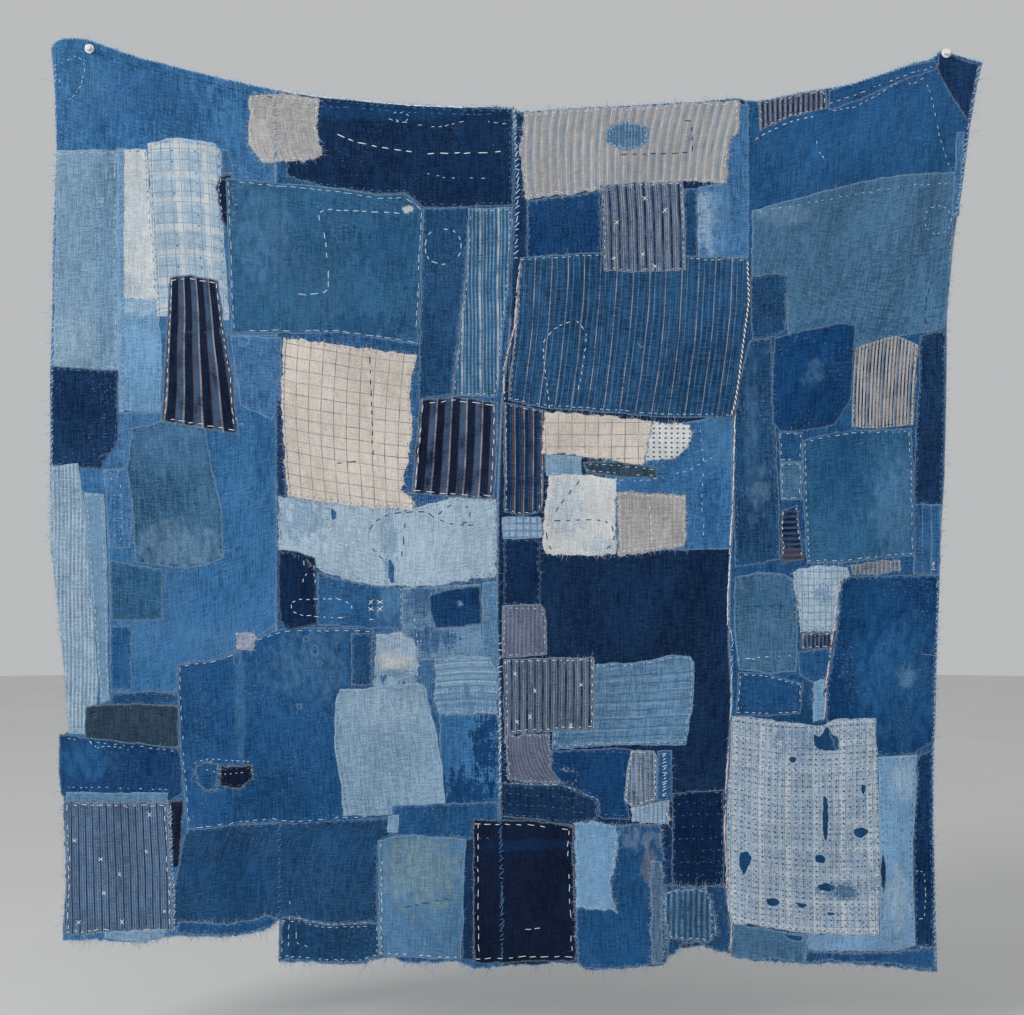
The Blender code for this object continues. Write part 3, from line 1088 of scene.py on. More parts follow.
class Relief:
    """The height of the cloth all over the chart, with a cell for each square."""

    LEFT = 20
    TOP = 10
    SIZE = 990
    BORDER = 4

    def __init__(self, draws: np.random.Generator) -> None:
        """Lays the folds and the creases."""
        rows, columns = np.mgrid[0:self.SIZE, 0:self.SIZE]
        self.x = (columns + self.LEFT).astype(float)
        self.y = (rows + self.TOP).astype(float)
        self.fall = self._fall(draws)
        self.stack = np.full(self.fall.shape, -BASE_SET_BACK)
        self.owner = np.full(self.fall.shape, -1)

    def _rise(self, fold: Fold) -> np.ndarray:
        """How far one fold or crease lifts the cloth, in metres, all over the chart."""
        run_x = fold.end.x - fold.start.x
        run_y = fold.end.y - fold.start.y
        off_x = self.x - fold.start.x
        off_y = self.y - fold.start.y
        share = np.clip((off_x * run_x + off_y * run_y) / (run_x**2 + run_y**2), 0.0, 1.0)
        off = np.hypot(off_x - share * run_x, off_y - share * run_y)
        crest = fold.rise * (CREST_AT_ENDS + (1.0 - CREST_AT_ENDS) * np.sin(np.pi * share))
        return crest * np.exp(-((off / fold.reach) ** 2)) * MILLIMETRE

    def _fall(self, draws: np.random.Generator) -> np.ndarray:
        """How far the cloth stands off the wall side, in metres, all over the chart."""
        calm = np.ones(self.x.shape)
        for pin in (LEFT_PIN, RIGHT_PIN):
            away = np.hypot(self.x - pin.x, self.y - pin.y) - PIN_CALM_RADIUS
            calm *= eased(away / (PIN_FOLD_RADIUS - PIN_CALM_RADIUS))
        folds = sum(self._rise(fold) for fold in FOLDS)
        creases = sum(self._rise(crease) for crease in CREASES)
        waves = sum(self._waves(cell, draws) * rise for cell, rise in WAVES)
        return calm * (CLOTH_STAND_OFF + FOLD_DEPTH_SCALE * folds + creases + waves)

    def _waves(self, cell: int, draws: np.random.Generator) -> np.ndarray:
        """Soft uneven waves about 0, a cell's size apart."""
        count = self.SIZE // cell + 3
        knots = draws.normal(0.0, 1.0, (count, count))
        place = np.arange(self.SIZE) / cell
        whole = place.astype(int)
        share = eased(place - whole)
        across = knots[:, whole] * (1 - share) + knots[:, whole + 1] * share
        return across[whole] * (1 - share)[:, None] + across[whole + 1] * share[:, None]

    def read(self, layer: np.ndarray, x: np.ndarray, y: np.ndarray) -> np.ndarray:
        """Reads a layer between its cells.

        Args:
            layer: One of the relief's layers.
            x: Chart x.
            y: Chart y.

        Returns:
            The layer's values there.
        """
        return read_between(layer, x - self.LEFT, y - self.TOP)

    def front(self, x: np.ndarray, y: np.ndarray) -> np.ndarray:
        """How far the top of everything laid so far stands off, in metres."""
        return self.read(self.fall, x, y) + self.read(self.stack, x, y)

    def back(self, x: np.ndarray, y: np.ndarray) -> np.ndarray:
        """How far the back of the base cloth stands off, in metres."""
        return self.read(self.fall, x, y) - BASE_SET_BACK - BASE_THICKNESS

    def belongs(self, number: int, x: np.ndarray, y: np.ndarray) -> np.ndarray:
        """Tells where a patch is still the topmost one."""
        column = np.clip(np.rint(x).astype(int) - self.LEFT, 0, self.SIZE - 1)
        row = np.clip(np.rint(y).astype(int) - self.TOP, 0, self.SIZE - 1)
        return self.owner[row, column] == number

    def raise_line(self, places: tuple[Place, ...], reach: float, rise: float) -> None:
        """Raises a ridge along a line, as a seam or hem does.

        Args:
            places: The line's points.
            reach: Its half width in squares.
            rise: Its height in metres.
        """
        run = Run.through(list(places)).at(np.linspace(0.0, 1.0, RIDGE_POINTS))
        away = np.full(self.x.shape, FAR)
        for point in run:
            left = max(0, int(point[0] - self.LEFT - 3 * reach))
            top = max(0, int(point[1] - self.TOP - 3 * reach))
            box = (slice(top, top + int(6 * reach) + 2), slice(left, left + int(6 * reach) + 2))
            off = np.hypot(self.x[box] - point[0], self.y[box] - point[1])
            away[box] = np.minimum(away[box], off)
        self.stack += rise * np.exp(-((away / reach) ** 2))

    def lay(self, number: int, outline: Outline, holes: list[np.ndarray]) -> Bed:
        """Raises the stack where a patch lies.

        Args:
            number: The patch's own number.
            outline: The patch's edge.
            holes: The edges of its holes.

        Returns:
            What lies under it.
        """
        low = np.floor(outline.ring.min(axis=0)).astype(int) - self.BORDER
        high = np.ceil(outline.ring.max(axis=0)).astype(int) + self.BORDER + 1
        left, top = low - (self.LEFT, self.TOP)
        right, bottom = high - (self.LEFT, self.TOP)
        box = (slice(max(0, top), bottom), slice(max(0, left), right))
        x, y = self.x[box], self.y[box]
        inside = lies_inside(outline.ring, x, y)
        for hole in holes:
            inside &= ~lies_inside(hole, x, y)
        under = spread(spread(spread(self.stack[box], True), True), False)
        rise = rim_rise(depth_inside(outline.ring, x, y), x, y)
        self.stack[box] = np.where(inside, under + rise, self.stack[box])
        self.owner[box] = np.where(inside, number, self.owner[box])
        return Bed(max(0, left) + self.LEFT, max(0, top) + self.TOP, under)


def read_between(layer: np.ndarray, column: np.ndarray, row: np.ndarray) -> np.ndarray:
    """Reads a layer of cells between their middles.

    Args:
        layer: The cells, by row and column.
        column: Where along a row.
        row: Which row, and between which.

    Returns:
        The values there.
    """
    column = np.clip(column, 0.0, layer.shape[1] - 1.001)
    row = np.clip(row, 0.0, layer.shape[0] - 1.001)
    k, j = column.astype(int), row.astype(int)
    side, fall = column - k, row - j
    upper = layer[j, k] * (1 - side) + layer[j, k + 1] * side
    lower = layer[j + 1, k] * (1 - side) + layer[j + 1, k + 1] * side
    return upper * (1 - fall) + lower * fall


def rim_rise(depth: np.ndarray, x: np.ndarray, y: np.ndarray) -> np.ndarray:
    """How far a patch's front stands above what it lies on, in metres.

    It climbs from its edge, rolls over its turned hem and then lies flat.

    Args:
        depth: The distance from its edge, in squares.
        x: Chart x.
        y: Chart y.

    Returns:
        The heights.
    """
    climb = EDGE_HEIGHT + (1.0 - EDGE_HEIGHT) * eased(depth / CLIMB)
    wave = np.sin(x * 0.9 + 1.3 * np.sin(y * 0.31))
    ripple = 1.0 + HEM_RIPPLE * wave * np.sin(y * 0.8 + x * 0.13)
    roll = HEM_ROLL * ripple * np.exp(-(((depth - ROLL_CENTRE) / ROLL_REACH) ** 2))
    return (PATCH_THICKNESS + PATCH_CLEARANCE) * climb + roll * eased(depth / CLIMB)


def stations(length: float, step: float) -> np.ndarray:
    """Shares of the way across a cloth, closer together near its two edges.

    Args:
        length: The way across, in squares.
        step: The distance between stations in the middle.

    Returns:
        The shares, from 0 to 1.
    """
    near = [place for place in RIM_STATIONS if place < 0.4 * length]
    middle = length - 2 * near[-1]
    count = max(1, round(middle / step))
    inner = [near[-1] + middle * k / count for k in range(1, count)]
    far = [length - place for place in reversed(near)]
    return np.array([*near, *inner, *far]) / length


def corner_vertices(mesh: bpy.types.Mesh) -> np.ndarray:
    """The vertex at each corner of each face."""
    corner = np.empty(len(mesh.loops), int)
    mesh.loops.foreach_get("vertex_index", corner)
    return corner


class ClothSheet:
    """One sheet of cloth: a grid spread over its outline, laid on the folds and thickened."""

    def __init__(self, name: str, outline: Outline, step: float, holes: list[np.ndarray]) -> None:
        """Spreads the grid on the chart and fits it to the holes."""
        self.name = name
        self.outline = outline
        self.width = outline.width()
        self.height = outline.height()
        self.across = stations(self.width, step)
        self.down = stations(self.height, step)
        grid = outline.grid(self.across, self.down)
        self.x, self.y = grid[..., 0], grid[..., 1]
        self.depth = depth_inside(outline.ring, self.x, self.y)
        self.open_cells = np.zeros((len(self.down) - 1, len(self.across) - 1), bool)
        for hole in holes:
            self._fit_hole(hole)

    def _fit_hole(self, hole: np.ndarray) -> None:
        """Marks the cells inside a hole and moves those round it onto its edge."""
        middle_x = (self.x[:-1, :-1] + self.x[1:, 1:]) / 2
        middle_y = (self.y[:-1, :-1] + self.y[1:, 1:]) / 2
        opened = lies_inside(hole, middle_x, middle_y)
        self.open_cells |= opened
        touched = np.zeros((*self.x.shape, 2), bool)
        for j in (0, 1):
            for k in (0, 1):
                rows = slice(j, self.x.shape[0] - 1 + j)
                columns = slice(k, self.x.shape[1] - 1 + k)
                touched[rows, columns, 0] |= opened
                touched[rows, columns, 1] |= ~opened
        border = touched.all(axis=-1)
        dense = Run(np.vstack([hole, hole[:1]])).at(np.linspace(0.0, 1.0, HOLE_POINTS))
        for row, column in zip(*np.nonzero(border)):
            off = np.hypot(dense[:, 0] - self.x[row, column], dense[:, 1] - self.y[row, column])
            self.x[row, column], self.y[row, column] = dense[off.argmin()]
        self.depth = np.minimum(self.depth, depth_inside(hole, self.x, self.y))

    def build(self, lift: np.ndarray, thickness: float) -> bpy.types.Object:
        """Makes the sheet's mesh.

        Args:
            lift: How far the front of each grid point stands off, in metres.
            thickness: The sheet's thickness, in metres.

        Returns:
            The piece.
        """
        rows, columns = self.x.shape
        deselect_all()
        bpy.ops.mesh.primitive_grid_add(x_subdivisions=columns - 1, y_subdivisions=rows - 1, size=1)
        piece = bpy.context.object
        piece.name = self.name
        mesh = piece.data
        mesh.name = self.name
        flat = np.empty(len(mesh.vertices) * 3)
        mesh.vertices.foreach_get("co", flat)
        flat = flat.reshape(-1, 3)
        column = np.rint((flat[:, 0] + 0.5) * (columns - 1)).astype(int)
        row = np.rint((0.5 - flat[:, 1]) * (rows - 1)).astype(int)
        x, y = self.x[row, column], self.y[row, column]
        placed = np.stack([world_x(x), -lift[row, column], world_z(y)], axis=1)
        mesh.vertices.foreach_set("co", placed.ravel())
        edge = mesh.attributes.new("edge", "FLOAT", "POINT")
        edge.data.foreach_set("value", self.depth[row, column])
        corner = corner_vertices(mesh)
        cut = self._threads()[row, column] * SQUARE
        mesh.uv_layers.active.data.foreach_set("uv", cut[corner].ravel())
        if self.open_cells.any():
            self._open_holes(piece, row, column)
        self._thicken(piece, thickness)
        return piece

    def _threads(self) -> np.ndarray:
        """Finds where the threads lie, which run straighter than the cloth's edges.

        Returns:
            How far along the weft and up the warp each grid point lies, in squares.
        """
        x = ((self.x - self.x.mean()) / np.ptp(self.x)).ravel()
        y = ((self.y - self.y.mean()) / np.ptp(self.y)).ravel()
        terms = np.stack([np.ones(x.size), x, y, x * x, x * y, y * y], axis=1)
        narrow = min(self.width, self.height) < NARROW
        terms = terms[:, :3] if narrow else terms
        across, down = np.meshgrid(self.across * self.width, -self.down * self.height)
        aims = np.stack([across.ravel(), down.ravel()], axis=1)
        share = np.linalg.lstsq(terms, aims, rcond=None)[0]
        if narrow:
            share[2, 0] = share[1, 1] = 0.0
        return (terms @ share).reshape(*self.x.shape, 2)

    def _open_holes(self, piece: bpy.types.Object, row: np.ndarray, column: np.ndarray) -> None:
        """Deletes the faces inside the holes.

        Args:
            piece: The sheet.
            row: Each vertex's row in the grid.
            column: Each vertex's column in the grid.
        """
        mesh = piece.data
        corner = corner_vertices(mesh)
        cell_row = row[corner].reshape(-1, 4).min(axis=1)
        cell_column = column[corner].reshape(-1, 4).min(axis=1)
        opened = self.open_cells[cell_row, cell_column]
        hold(piece)
        bpy.ops.object.mode_set(mode="EDIT")
        bpy.ops.mesh.select_all(action="DESELECT")
        bpy.ops.mesh.select_mode(type="FACE")
        bpy.ops.object.mode_set(mode="OBJECT")
        mesh.polygons.foreach_set("select", opened)
        bpy.ops.object.mode_set(mode="EDIT")
        bpy.ops.mesh.delete(type="FACE")
        bpy.ops.object.mode_set(mode="OBJECT")

    def _thicken(self, piece: bpy.types.Object, thickness: float) -> None:
        """Gives the sheet its thickness, behind its front, and smooth shading."""
        hold(piece)
        shell = piece.modifiers.new("cloth thickness", "SOLIDIFY")
        shell.thickness = thickness
        shell.offset = -1.0
        bpy.ops.object.modifier_apply(modifier=shell.name)
        bpy.ops.object.shade_smooth_by_angle(angle=math.radians(50))


@dataclass
class SmallPart:
    """A short length of thread modelled once: points as side, out and along, and triangles."""

    points: np.ndarray
    faces: np.ndarray

    @classmethod
    def modelled(cls, sides: int, cuts: tuple[float, ...], near: float, far: float) -> "SmallPart":
        """Models a length of thread with tapered ends.

        Args:
            sides: How many sides it has.
            cuts: Where it is cut into sections, from -0.5 to 0.5.
            near: How thick its near end is, as a share of its middle.
            far: How thick its far end is.

        Returns:
            The modelled length.
        """
        deselect_all()
        bpy.ops.mesh.primitive_cylinder_add(vertices=sides, radius=1.0, depth=1.0)
        piece = bpy.context.object
        bpy.ops.object.mode_set(mode="EDIT")
        for cut in cuts:
            bpy.ops.mesh.select_all(action="SELECT")
            bpy.ops.mesh.bisect(plane_co=(0.0, 0.0, cut), plane_no=(0.0, 0.0, 1.0))
        for end, size in ((-0.5, near), (0.5, far)):
            bpy.ops.object.mode_set(mode="OBJECT")
            for part in (*piece.data.polygons, *piece.data.edges, *piece.data.vertices):
                part.select = False
            for vertex in piece.data.vertices:
                vertex.select = abs(vertex.co.z - end) < 0.01
            bpy.ops.object.mode_set(mode="EDIT")
            bpy.ops.transform.resize(value=(size, size, 1.0))
        bpy.ops.mesh.select_all(action="SELECT")
        bpy.ops.mesh.quads_convert_to_tris()
        bpy.ops.object.mode_set(mode="OBJECT")
        points = np.array([tuple(vertex.co) for vertex in piece.data.vertices])
        faces = np.array([tuple(face.vertices) for face in piece.data.polygons])
        points[:, 2] += 0.5
        bpy.data.objects.remove(piece, do_unlink=True)
        return cls(points, faces)

    def repeated(self, name: str, placed: np.ndarray) -> bpy.types.Object:
        """Joins many placed copies in one piece.

        Args:
            name: The piece's name.
            placed: Where each copy's points lie, in metres, by copy and point.

        Returns:
            The piece.
        """
        count = placed.shape[0]
        offsets = np.arange(count)[:, None, None] * len(self.points)
        faces = (self.faces[None] + offsets).reshape(-1, 3)
        mesh = bpy.data.meshes.new(name)
        mesh.from_pydata(placed.reshape(-1, 3), [], faces)
        mesh.update()
        piece = bpy.data.objects.new(name, mesh)
        bpy.context.scene.collection.objects.link(piece)
        hold(piece)
        bpy.ops.object.shade_smooth()
        return piece


@dataclass
class Stitches:
    """All the stitches of one thread: starts and ends on the chart, kept until they are made."""

    thread: Thread
    starts: list[np.ndarray] = field(default_factory=list)
    ends: list[np.ndarray] = field(default_factory=list)
    radii: list[np.ndarray] = field(default_factory=list)
    facings: list[np.ndarray] = field(default_factory=list)

    def add(self, starts: np.ndarray, ends: np.ndarray, radius: float, facing: float) -> None:
        """Adds stitches on the front (a facing of 1) or on the back (-1)."""
        self.starts.append(starts)
        self.ends.append(ends)
        self.radii.append(np.full(len(starts), radius))
        self.facings.append(np.full(len(starts), facing))

    def build(self, name: str, relief: Relief, shape: SmallPart) -> bpy.types.Object:
        """Makes all the stitches as one piece.

        Args:
            name: The piece's name.
            relief: The height of the finished stack.
            shape: One stitch.

        Returns:
            The piece.
        """
        start = np.vstack(self.starts)[:, None, :]
        end = np.vstack(self.ends)[:, None, :]
        radius = np.concatenate(self.radii)[:, None]
        facing = np.concatenate(self.facings)[:, None]
        side, out, along = (shape.points[:, k][None, :] for k in range(3))
        chart = start + (end - start) * along[..., None]
        x, y = chart[..., 0], chart[..., 1]
        surface = np.where(facing > 0, relief.front(x, y), relief.back(x, y))
        run = directions((end - start)[:, 0, :])
        way_x, way_z = run[:, :1], -run[:, 1:]
        arch = ARCH * np.sin(np.pi * along) - SUNK
        placed = np.stack([
            world_x(x) - facing * way_z * side * radius,
            -surface - facing * (arch + out) * radius,
            world_z(y) + facing * way_x * side * radius,
        ], axis=-1)
        return shape.repeated(name, placed)


@dataclass
class Fibres:
    """Loose ends of one thread: root, bend and tip on the chart, and how far they stand off."""

    thread: Thread
    roots: list[np.ndarray] = field(default_factory=list)
    bends: list[np.ndarray] = field(default_factory=list)
    tips: list[np.ndarray] = field(default_factory=list)
    lifts: list[np.ndarray] = field(default_factory=list)

    def along_edge(self, side: Run, fray: Fray, draws: np.random.Generator) -> None:
        """Frays one side of a cloth.

        Args:
            side: The side, run clockwise round the cloth.
            fray: How it frays.
            draws: The source of chance.
        """
        count = int(side.length * fray.density)
        if count < 1:
            return
        shares = draws.uniform(0.01, 0.99, count)
        here = side.at(shares)
        ahead = side.at(np.clip(shares + 0.5 / side.length, 0.0, 1.0))
        along = directions(ahead - here)
        outward = -square_to(along)
        reach = fray.length * draws.gamma(*FIBRE_LENGTHS, count)[:, None]
        lean = draws.normal(0.0, LEAN_SPREAD, count)[:, None]
        root = here - outward * ROOT_DEPTH
        tip = here + outward * reach + along * lean * reach
        sway = draws.normal(0.0, SWAY_SPREAD, (count, 2)) * reach
        self.roots.append(root)
        self.bends.append((root + tip) / 2 + sway)
        self.tips.append(tip)
        self.lifts.append(draws.uniform(0.0, FIBRE_LIFT, count))

    def loose(self, points: tuple[Place, ...], lift: float) -> None:
        """Adds one longer loose end by its root, bend and tip."""
        root, bend, tip = (np.array([tuple(place)]) for place in points)
        self.roots.append(root)
        self.bends.append(bend)
        self.tips.append(tip)
        self.lifts.append(np.array([lift]))

    def build(self, name: str, relief: Relief, shape: SmallPart) -> bpy.types.Object:
        """Makes all the fibres as one piece.

        Args:
            name: The piece's name.
            relief: The height of the finished stack.
            shape: One fibre.

        Returns:
            The piece.
        """
        root, bend, tip = (
            np.vstack(points)[:, None, :] for points in (self.roots, self.bends, self.tips)
        )
        lift = np.concatenate(self.lifts)[:, None]
        side, out, along = (shape.points[:, k][None, :] for k in range(3))
        t = along[..., None]
        chart = (1 - t) ** 2 * root + 2 * t * (1 - t) * bend + t**2 * tip
        way = 2 * (1 - t) * (bend - root) + 2 * t * (tip - bend)
        way = way / (np.hypot(way[..., 0], way[..., 1])[..., None] + 1e-9)
        x, y = chart[..., 0], chart[..., 1]
        surface = relief.front(x, y) + lift * along + 0.3 * FIBRE_RADIUS
        placed = np.stack([
            world_x(x) + way[..., 1] * side * FIBRE_RADIUS,
            -surface - out * FIBRE_RADIUS,
            world_z(y) + way[..., 0] * side * FIBRE_RADIUS,
        ], axis=-1)
        return shape.repeated(name, placed)


def ride_as(piece: bpy.types.Object) -> None:
    """Fastens a finished piece to the part's one body."""
    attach(piece, BODY)


def dress_in(piece: bpy.types.Object, thread: Thread) -> None:
    """Fastens a piece of sewing to the part's one body and gives it its thread."""
    ride_as(piece)
    piece.data.materials.append(ThreadFinish(thread).material(f"{piece.name}_thread"))


@dataclass
class BaseCloths:
    """The four loom widths that everything is sewn to."""

    relief: Relief
    draws: np.random.Generator
    cottons: dict[str, tuple[str, Cotton]]
    pieces: list[bpy.types.Object] = field(default_factory=list)
    edges: list[Outline] = field(default_factory=list)

    def build(self) -> None:
        """Raises the seams and the top hem, and makes the four sheets."""
        for seam in (FIRST_SEAM, SECOND_SEAM, THIRD_SEAM):
            self.relief.raise_line(seam, SEAM_REACH, SEAM_RIDGE)
        hem = tuple(Place(p.x, p.y + HEM_DEPTH / 2) for p in TOP_EDGE)
        self.relief.raise_line(hem, HEM_DEPTH / 2, 0.8 * SEAM_RIDGE)
        for selvedge in (LEFT_SELVEDGE, RIGHT_SELVEDGE):
            self.relief.raise_line(selvedge, SELVEDGE_REACH, SEAM_RIDGE)
        lines = (LEFT_SELVEDGE, FIRST_SEAM, SECOND_SEAM, THIRD_SEAM, RIGHT_SELVEDGE)
        for (node, bottom), left, right in zip(BOTTOM_EDGES.items(), lines, lines[1:]):
            outline = self._outline(left, right, bottom)
            sheet = ClothSheet(node.replace("panel", "base_cloth"), outline, BASE_STEP, [])
            lift = self.relief.front(sheet.x, sheet.y)
            piece = sheet.build(lift, BASE_THICKNESS)
            ride_as(piece)
            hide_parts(node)
            self.pieces.append(piece)
            self.edges.append(outline)
            LOG.info("made %s", piece.name)

    def _outline(
        self, left: tuple[Place, ...], right: tuple[Place, ...], bottom: tuple[Place, ...]
    ) -> Outline:
        """Draws one loom width: the seams at its sides, the top edge and its own foot."""
        top = [place for place in TOP_EDGE if left[0].x + 1 < place.x < right[0].x - 1]
        head = Run.through([left[0], *top, right[0]]).wavered(*HEAD_STRAY, self.draws)
        foot = Run.through(list(reversed(bottom))).wavered(*FOOT_STRAY, self.draws)
        down = [place for place in right if place.y < bottom[-1].y - 2] + [bottom[-1]]
        up = [place for place in left if place.y < bottom[0].y - 2] + [bottom[0]]
        return Outline([head, Run.through(down), foot, Run.through(up[::-1])])

    def dress(self) -> None:
        """Gives each loom width its worn indigo cotton."""
        for number, (piece, (_, cotton)) in enumerate(zip(self.pieces, self.cottons.values())):
            finish = CottonFinish(cotton, 3.1 + 17.0 * number)
            piece.data.materials.append(finish.material(f"{piece.name}_cotton"))


@dataclass
class Patchwork:
    """The patches, laid one after another on the base cloths."""

    relief: Relief
    draws: np.random.Generator
    patches: tuple[Patch, ...]
    hosts: list[bpy.types.Object]
    pieces: list[bpy.types.Object] = field(default_factory=list)
    sheets: list[ClothSheet] = field(default_factory=list)

    def build(self) -> None:
        """Lays and makes every patch."""
        for number, patch in enumerate(self.patches):
            outline = Outline.of_patch(patch, self.draws)
            holes = [self._hole(places) for places in patch.holes]
            bed = self.relief.lay(number, outline, holes)
            sheet = ClothSheet(patch.name, outline, patch.step, holes)
            under = read_between(bed.layer, sheet.x - bed.left, sheet.y - bed.top)
            fall = self.relief.read(self.relief.fall, sheet.x, sheet.y)
            lift = fall + under + rim_rise(sheet.depth, sheet.x, sheet.y)
            piece = sheet.build(lift, PATCH_THICKNESS)
            ride_as(piece)
            self._declare(sheet)
            self.pieces.append(piece)
            self.sheets.append(sheet)
        LOG.info("laid %d patches", len(self.pieces))

    def _hole(self, places: tuple[Place, ...]) -> np.ndarray:
        """Draws a ragged hole through its places."""
        run = Run.through([*places, places[0]], 1.2, 2)
        return run.wavered(*HOLE_STRAY, self.draws).points[:-1]

    def _declare(self, sheet: ClothSheet) -> None:
        """Works out a patch's cut size, its own size and what is turned under, though nothing uses it."""
        width, height = sheet.width * SQUARE, sheet.height * SQUARE
        area = min(TURNED_AREA * sheet.outline.area() * SQUARE**2, width * height)

    def dress(self) -> None:
        """Gives each patch its own cotton."""
        for number, (piece, patch) in enumerate(zip(self.pieces, self.patches)):
            finish = CottonFinish(patch.cotton, 5.7 + 13.3 * number)
            piece.data.materials.append(finish.material(f"{piece.name}_cotton"))


@dataclass
class Needlework:
    """Running stitches, overcast seams and crosses, as one piece for each thread."""

    relief: Relief
    draws: np.random.Generator
    patchwork: Patchwork
    lines: tuple[Line, ...]
    overcasts: tuple[Overcast, ...]
    crosses: tuple[tuple[Thread, float, tuple[Place, ...]], ...]
    boxes: dict[Thread, Stitches] = field(default_factory=dict)
    pieces: list[bpy.types.Object] = field(default_factory=list)

    def build(self) -> None:
        """Sews everything and makes a piece for each thread."""
        for number, (patch, sheet) in enumerate(zip(self.patchwork.patches, self.patchwork.sheets)):
            for sewing in patch.sewing:
                self._round(number, sheet, sewing)
            for rows in patch.rows:
                self._rows(number, sheet, rows)
        for line in self.lines:
            run = Run.through(list(line.points), passes=2)
            dark = line.thread is Thread.NAVY
            dash, gap = (DARK_DASH, DARK_GAP) if dark else (line.dash, line.gap)
            self._dashes(line.thread, run, dash, gap, BOLD if dark else line.radius, None)
        for overcast in self.overcasts:
            self._overcast(overcast)
        for thread, size, places in self.crosses:
            self._crosses(thread, size, places)
        shape = SmallPart.modelled(4, (-0.26, 0.26), 0.6, 0.6)
        for thread, box in self.boxes.items():
            piece = box.build(f"{thread.name.lower()}_stitches", self.relief, shape)
            self.pieces.append(piece)
            LOG.info("sewed %d %s stitches", sum(map(len, box.starts)), thread.name.lower())

    def _box(self, thread: Thread) -> Stitches:
        """The stitches of one thread so far."""
        return self.boxes.setdefault(thread, Stitches(thread))

    def _round(self, number: int, sheet: ClothSheet, sewing: Sewing) -> None:
        """Sews round a patch, a little inside its edge."""
        u = min(DEEPEST_INSET, sewing.inset / sheet.width)
        v = min(DEEPEST_INSET, sewing.inset / sheet.height)
        shares = np.linspace(0.0, 1.0, SEWN_POINTS)
        across = u + (1 - 2 * u) * shares
        down = v + (1 - 2 * v) * shares
        runs = {
            "T": (across, np.array([v])), "B": (across, np.array([1 - v])),
            "L": (np.array([u]), down), "R": (np.array([1 - u]), down),
        }
        for side in sewing.sides:
            points = sheet.outline.grid(*runs[side]).reshape(-1, 2)
            run = Run(points)
            self._dashes(sewing.thread, run, sewing.dash, sewing.gap, THREAD_RADIUS, number)

    def _rows(self, number: int, sheet: ClothSheet, rows: Rows) -> None:
        """Sews rows of stitches all over a patch."""
        level = rows.facing is Facing.LEVEL
        span = sheet.height if level else sheet.width
        shares = np.linspace(*ROW_REACH, SEWN_POINTS)
        for k in range(1, int(span / rows.spacing)):
            place = np.array([k * rows.spacing / span])
            grid = sheet.outline.grid(*((shares, place) if level else (place, shares)))
            run = Run(grid.reshape(-1, 2)).wavered(*ROW_STRAY, self.draws)
            self._dashes(rows.thread, run, rows.dash, rows.gap, 0.8 * THREAD_RADIUS, number)

    def _dashes(
        self, thread: Thread, run: Run, dash: float, gap: float, radius: float,
        number: int | None,
    ) -> None:
        """Sews running stitches along a line, on the front and between them on the back.

        Args:
            thread: The thread.
            run: The line.
            dash: A stitch's length on the front, in squares.
            gap: Its length on the back.
            radius: The thread's radius in metres.
            number: The patch that the stitches must not leave, if any.
        """
        count = int(run.length / (dash + gap))
        if count < 1:
            return
        steps = self.draws.uniform(*LENGTH_SPREAD, (count, 2)) * (dash, gap)
        marks = np.concatenate(([0.0], np.cumsum(steps.ravel())))
        points = run.at(marks / marks[-1])
        points = points + self.draws.normal(0.0, STRAY, points.shape)
        starts, ends = points[0:-1:2], points[1::2]
        kept = self.draws.random(count) > WORN_AWAY
        if number is not None:
            for place in (starts, ends, (starts + ends) / 2):
                kept &= self.relief.belongs(number, place[:, 0], place[:, 1])
        if kept.any():
            self._box(thread).add(starts[kept], ends[kept], radius, 1.0)
            self._box(thread).add(points[1:-1:2][kept], points[2::2][kept], radius, -1.0)

    def _overcast(self, overcast: Overcast) -> None:
        """Sews slanting stitches over a line."""
        run = Run.through(list(overcast.points), passes=2)
        count = int(run.length / overcast.pitch)
        shares = (np.arange(count) + self.draws.uniform(0.2, 0.8, count)) / count
        here = run.at(shares)
        along = directions(run.at(np.clip(shares + 1.0 / run.length, 0, 1)) - here)
        reach = overcast.reach * self.draws.uniform(*REACH_SPREAD, count)[:, None]
        slant = overcast.slant * self.draws.normal(1.0, SLANT_SPREAD, count)[:, None]
        offset = square_to(along) * reach + along * slant
        self._box(overcast.thread).add(here - offset, here + offset, overcast.radius, 1.0)

    def _crosses(self, thread: Thread, size: float, places: tuple[Place, ...]) -> None:
        """Sews small crosses."""
        middle = np.array([tuple(place) for place in places])
        for way in (1.0, -1.0):
            uneven = self.draws.uniform(*CROSS_SPREAD, middle.shape)
            arm = np.array([size, way * size]) / 2 * uneven
            self._box(thread).add(middle - arm, middle + arm, THREAD_RADIUS, 1.0)

    def dress(self) -> None:
        """Gives each thread its colour."""
        for piece, thread in zip(self.pieces, self.boxes):
            dress_in(piece, thread)


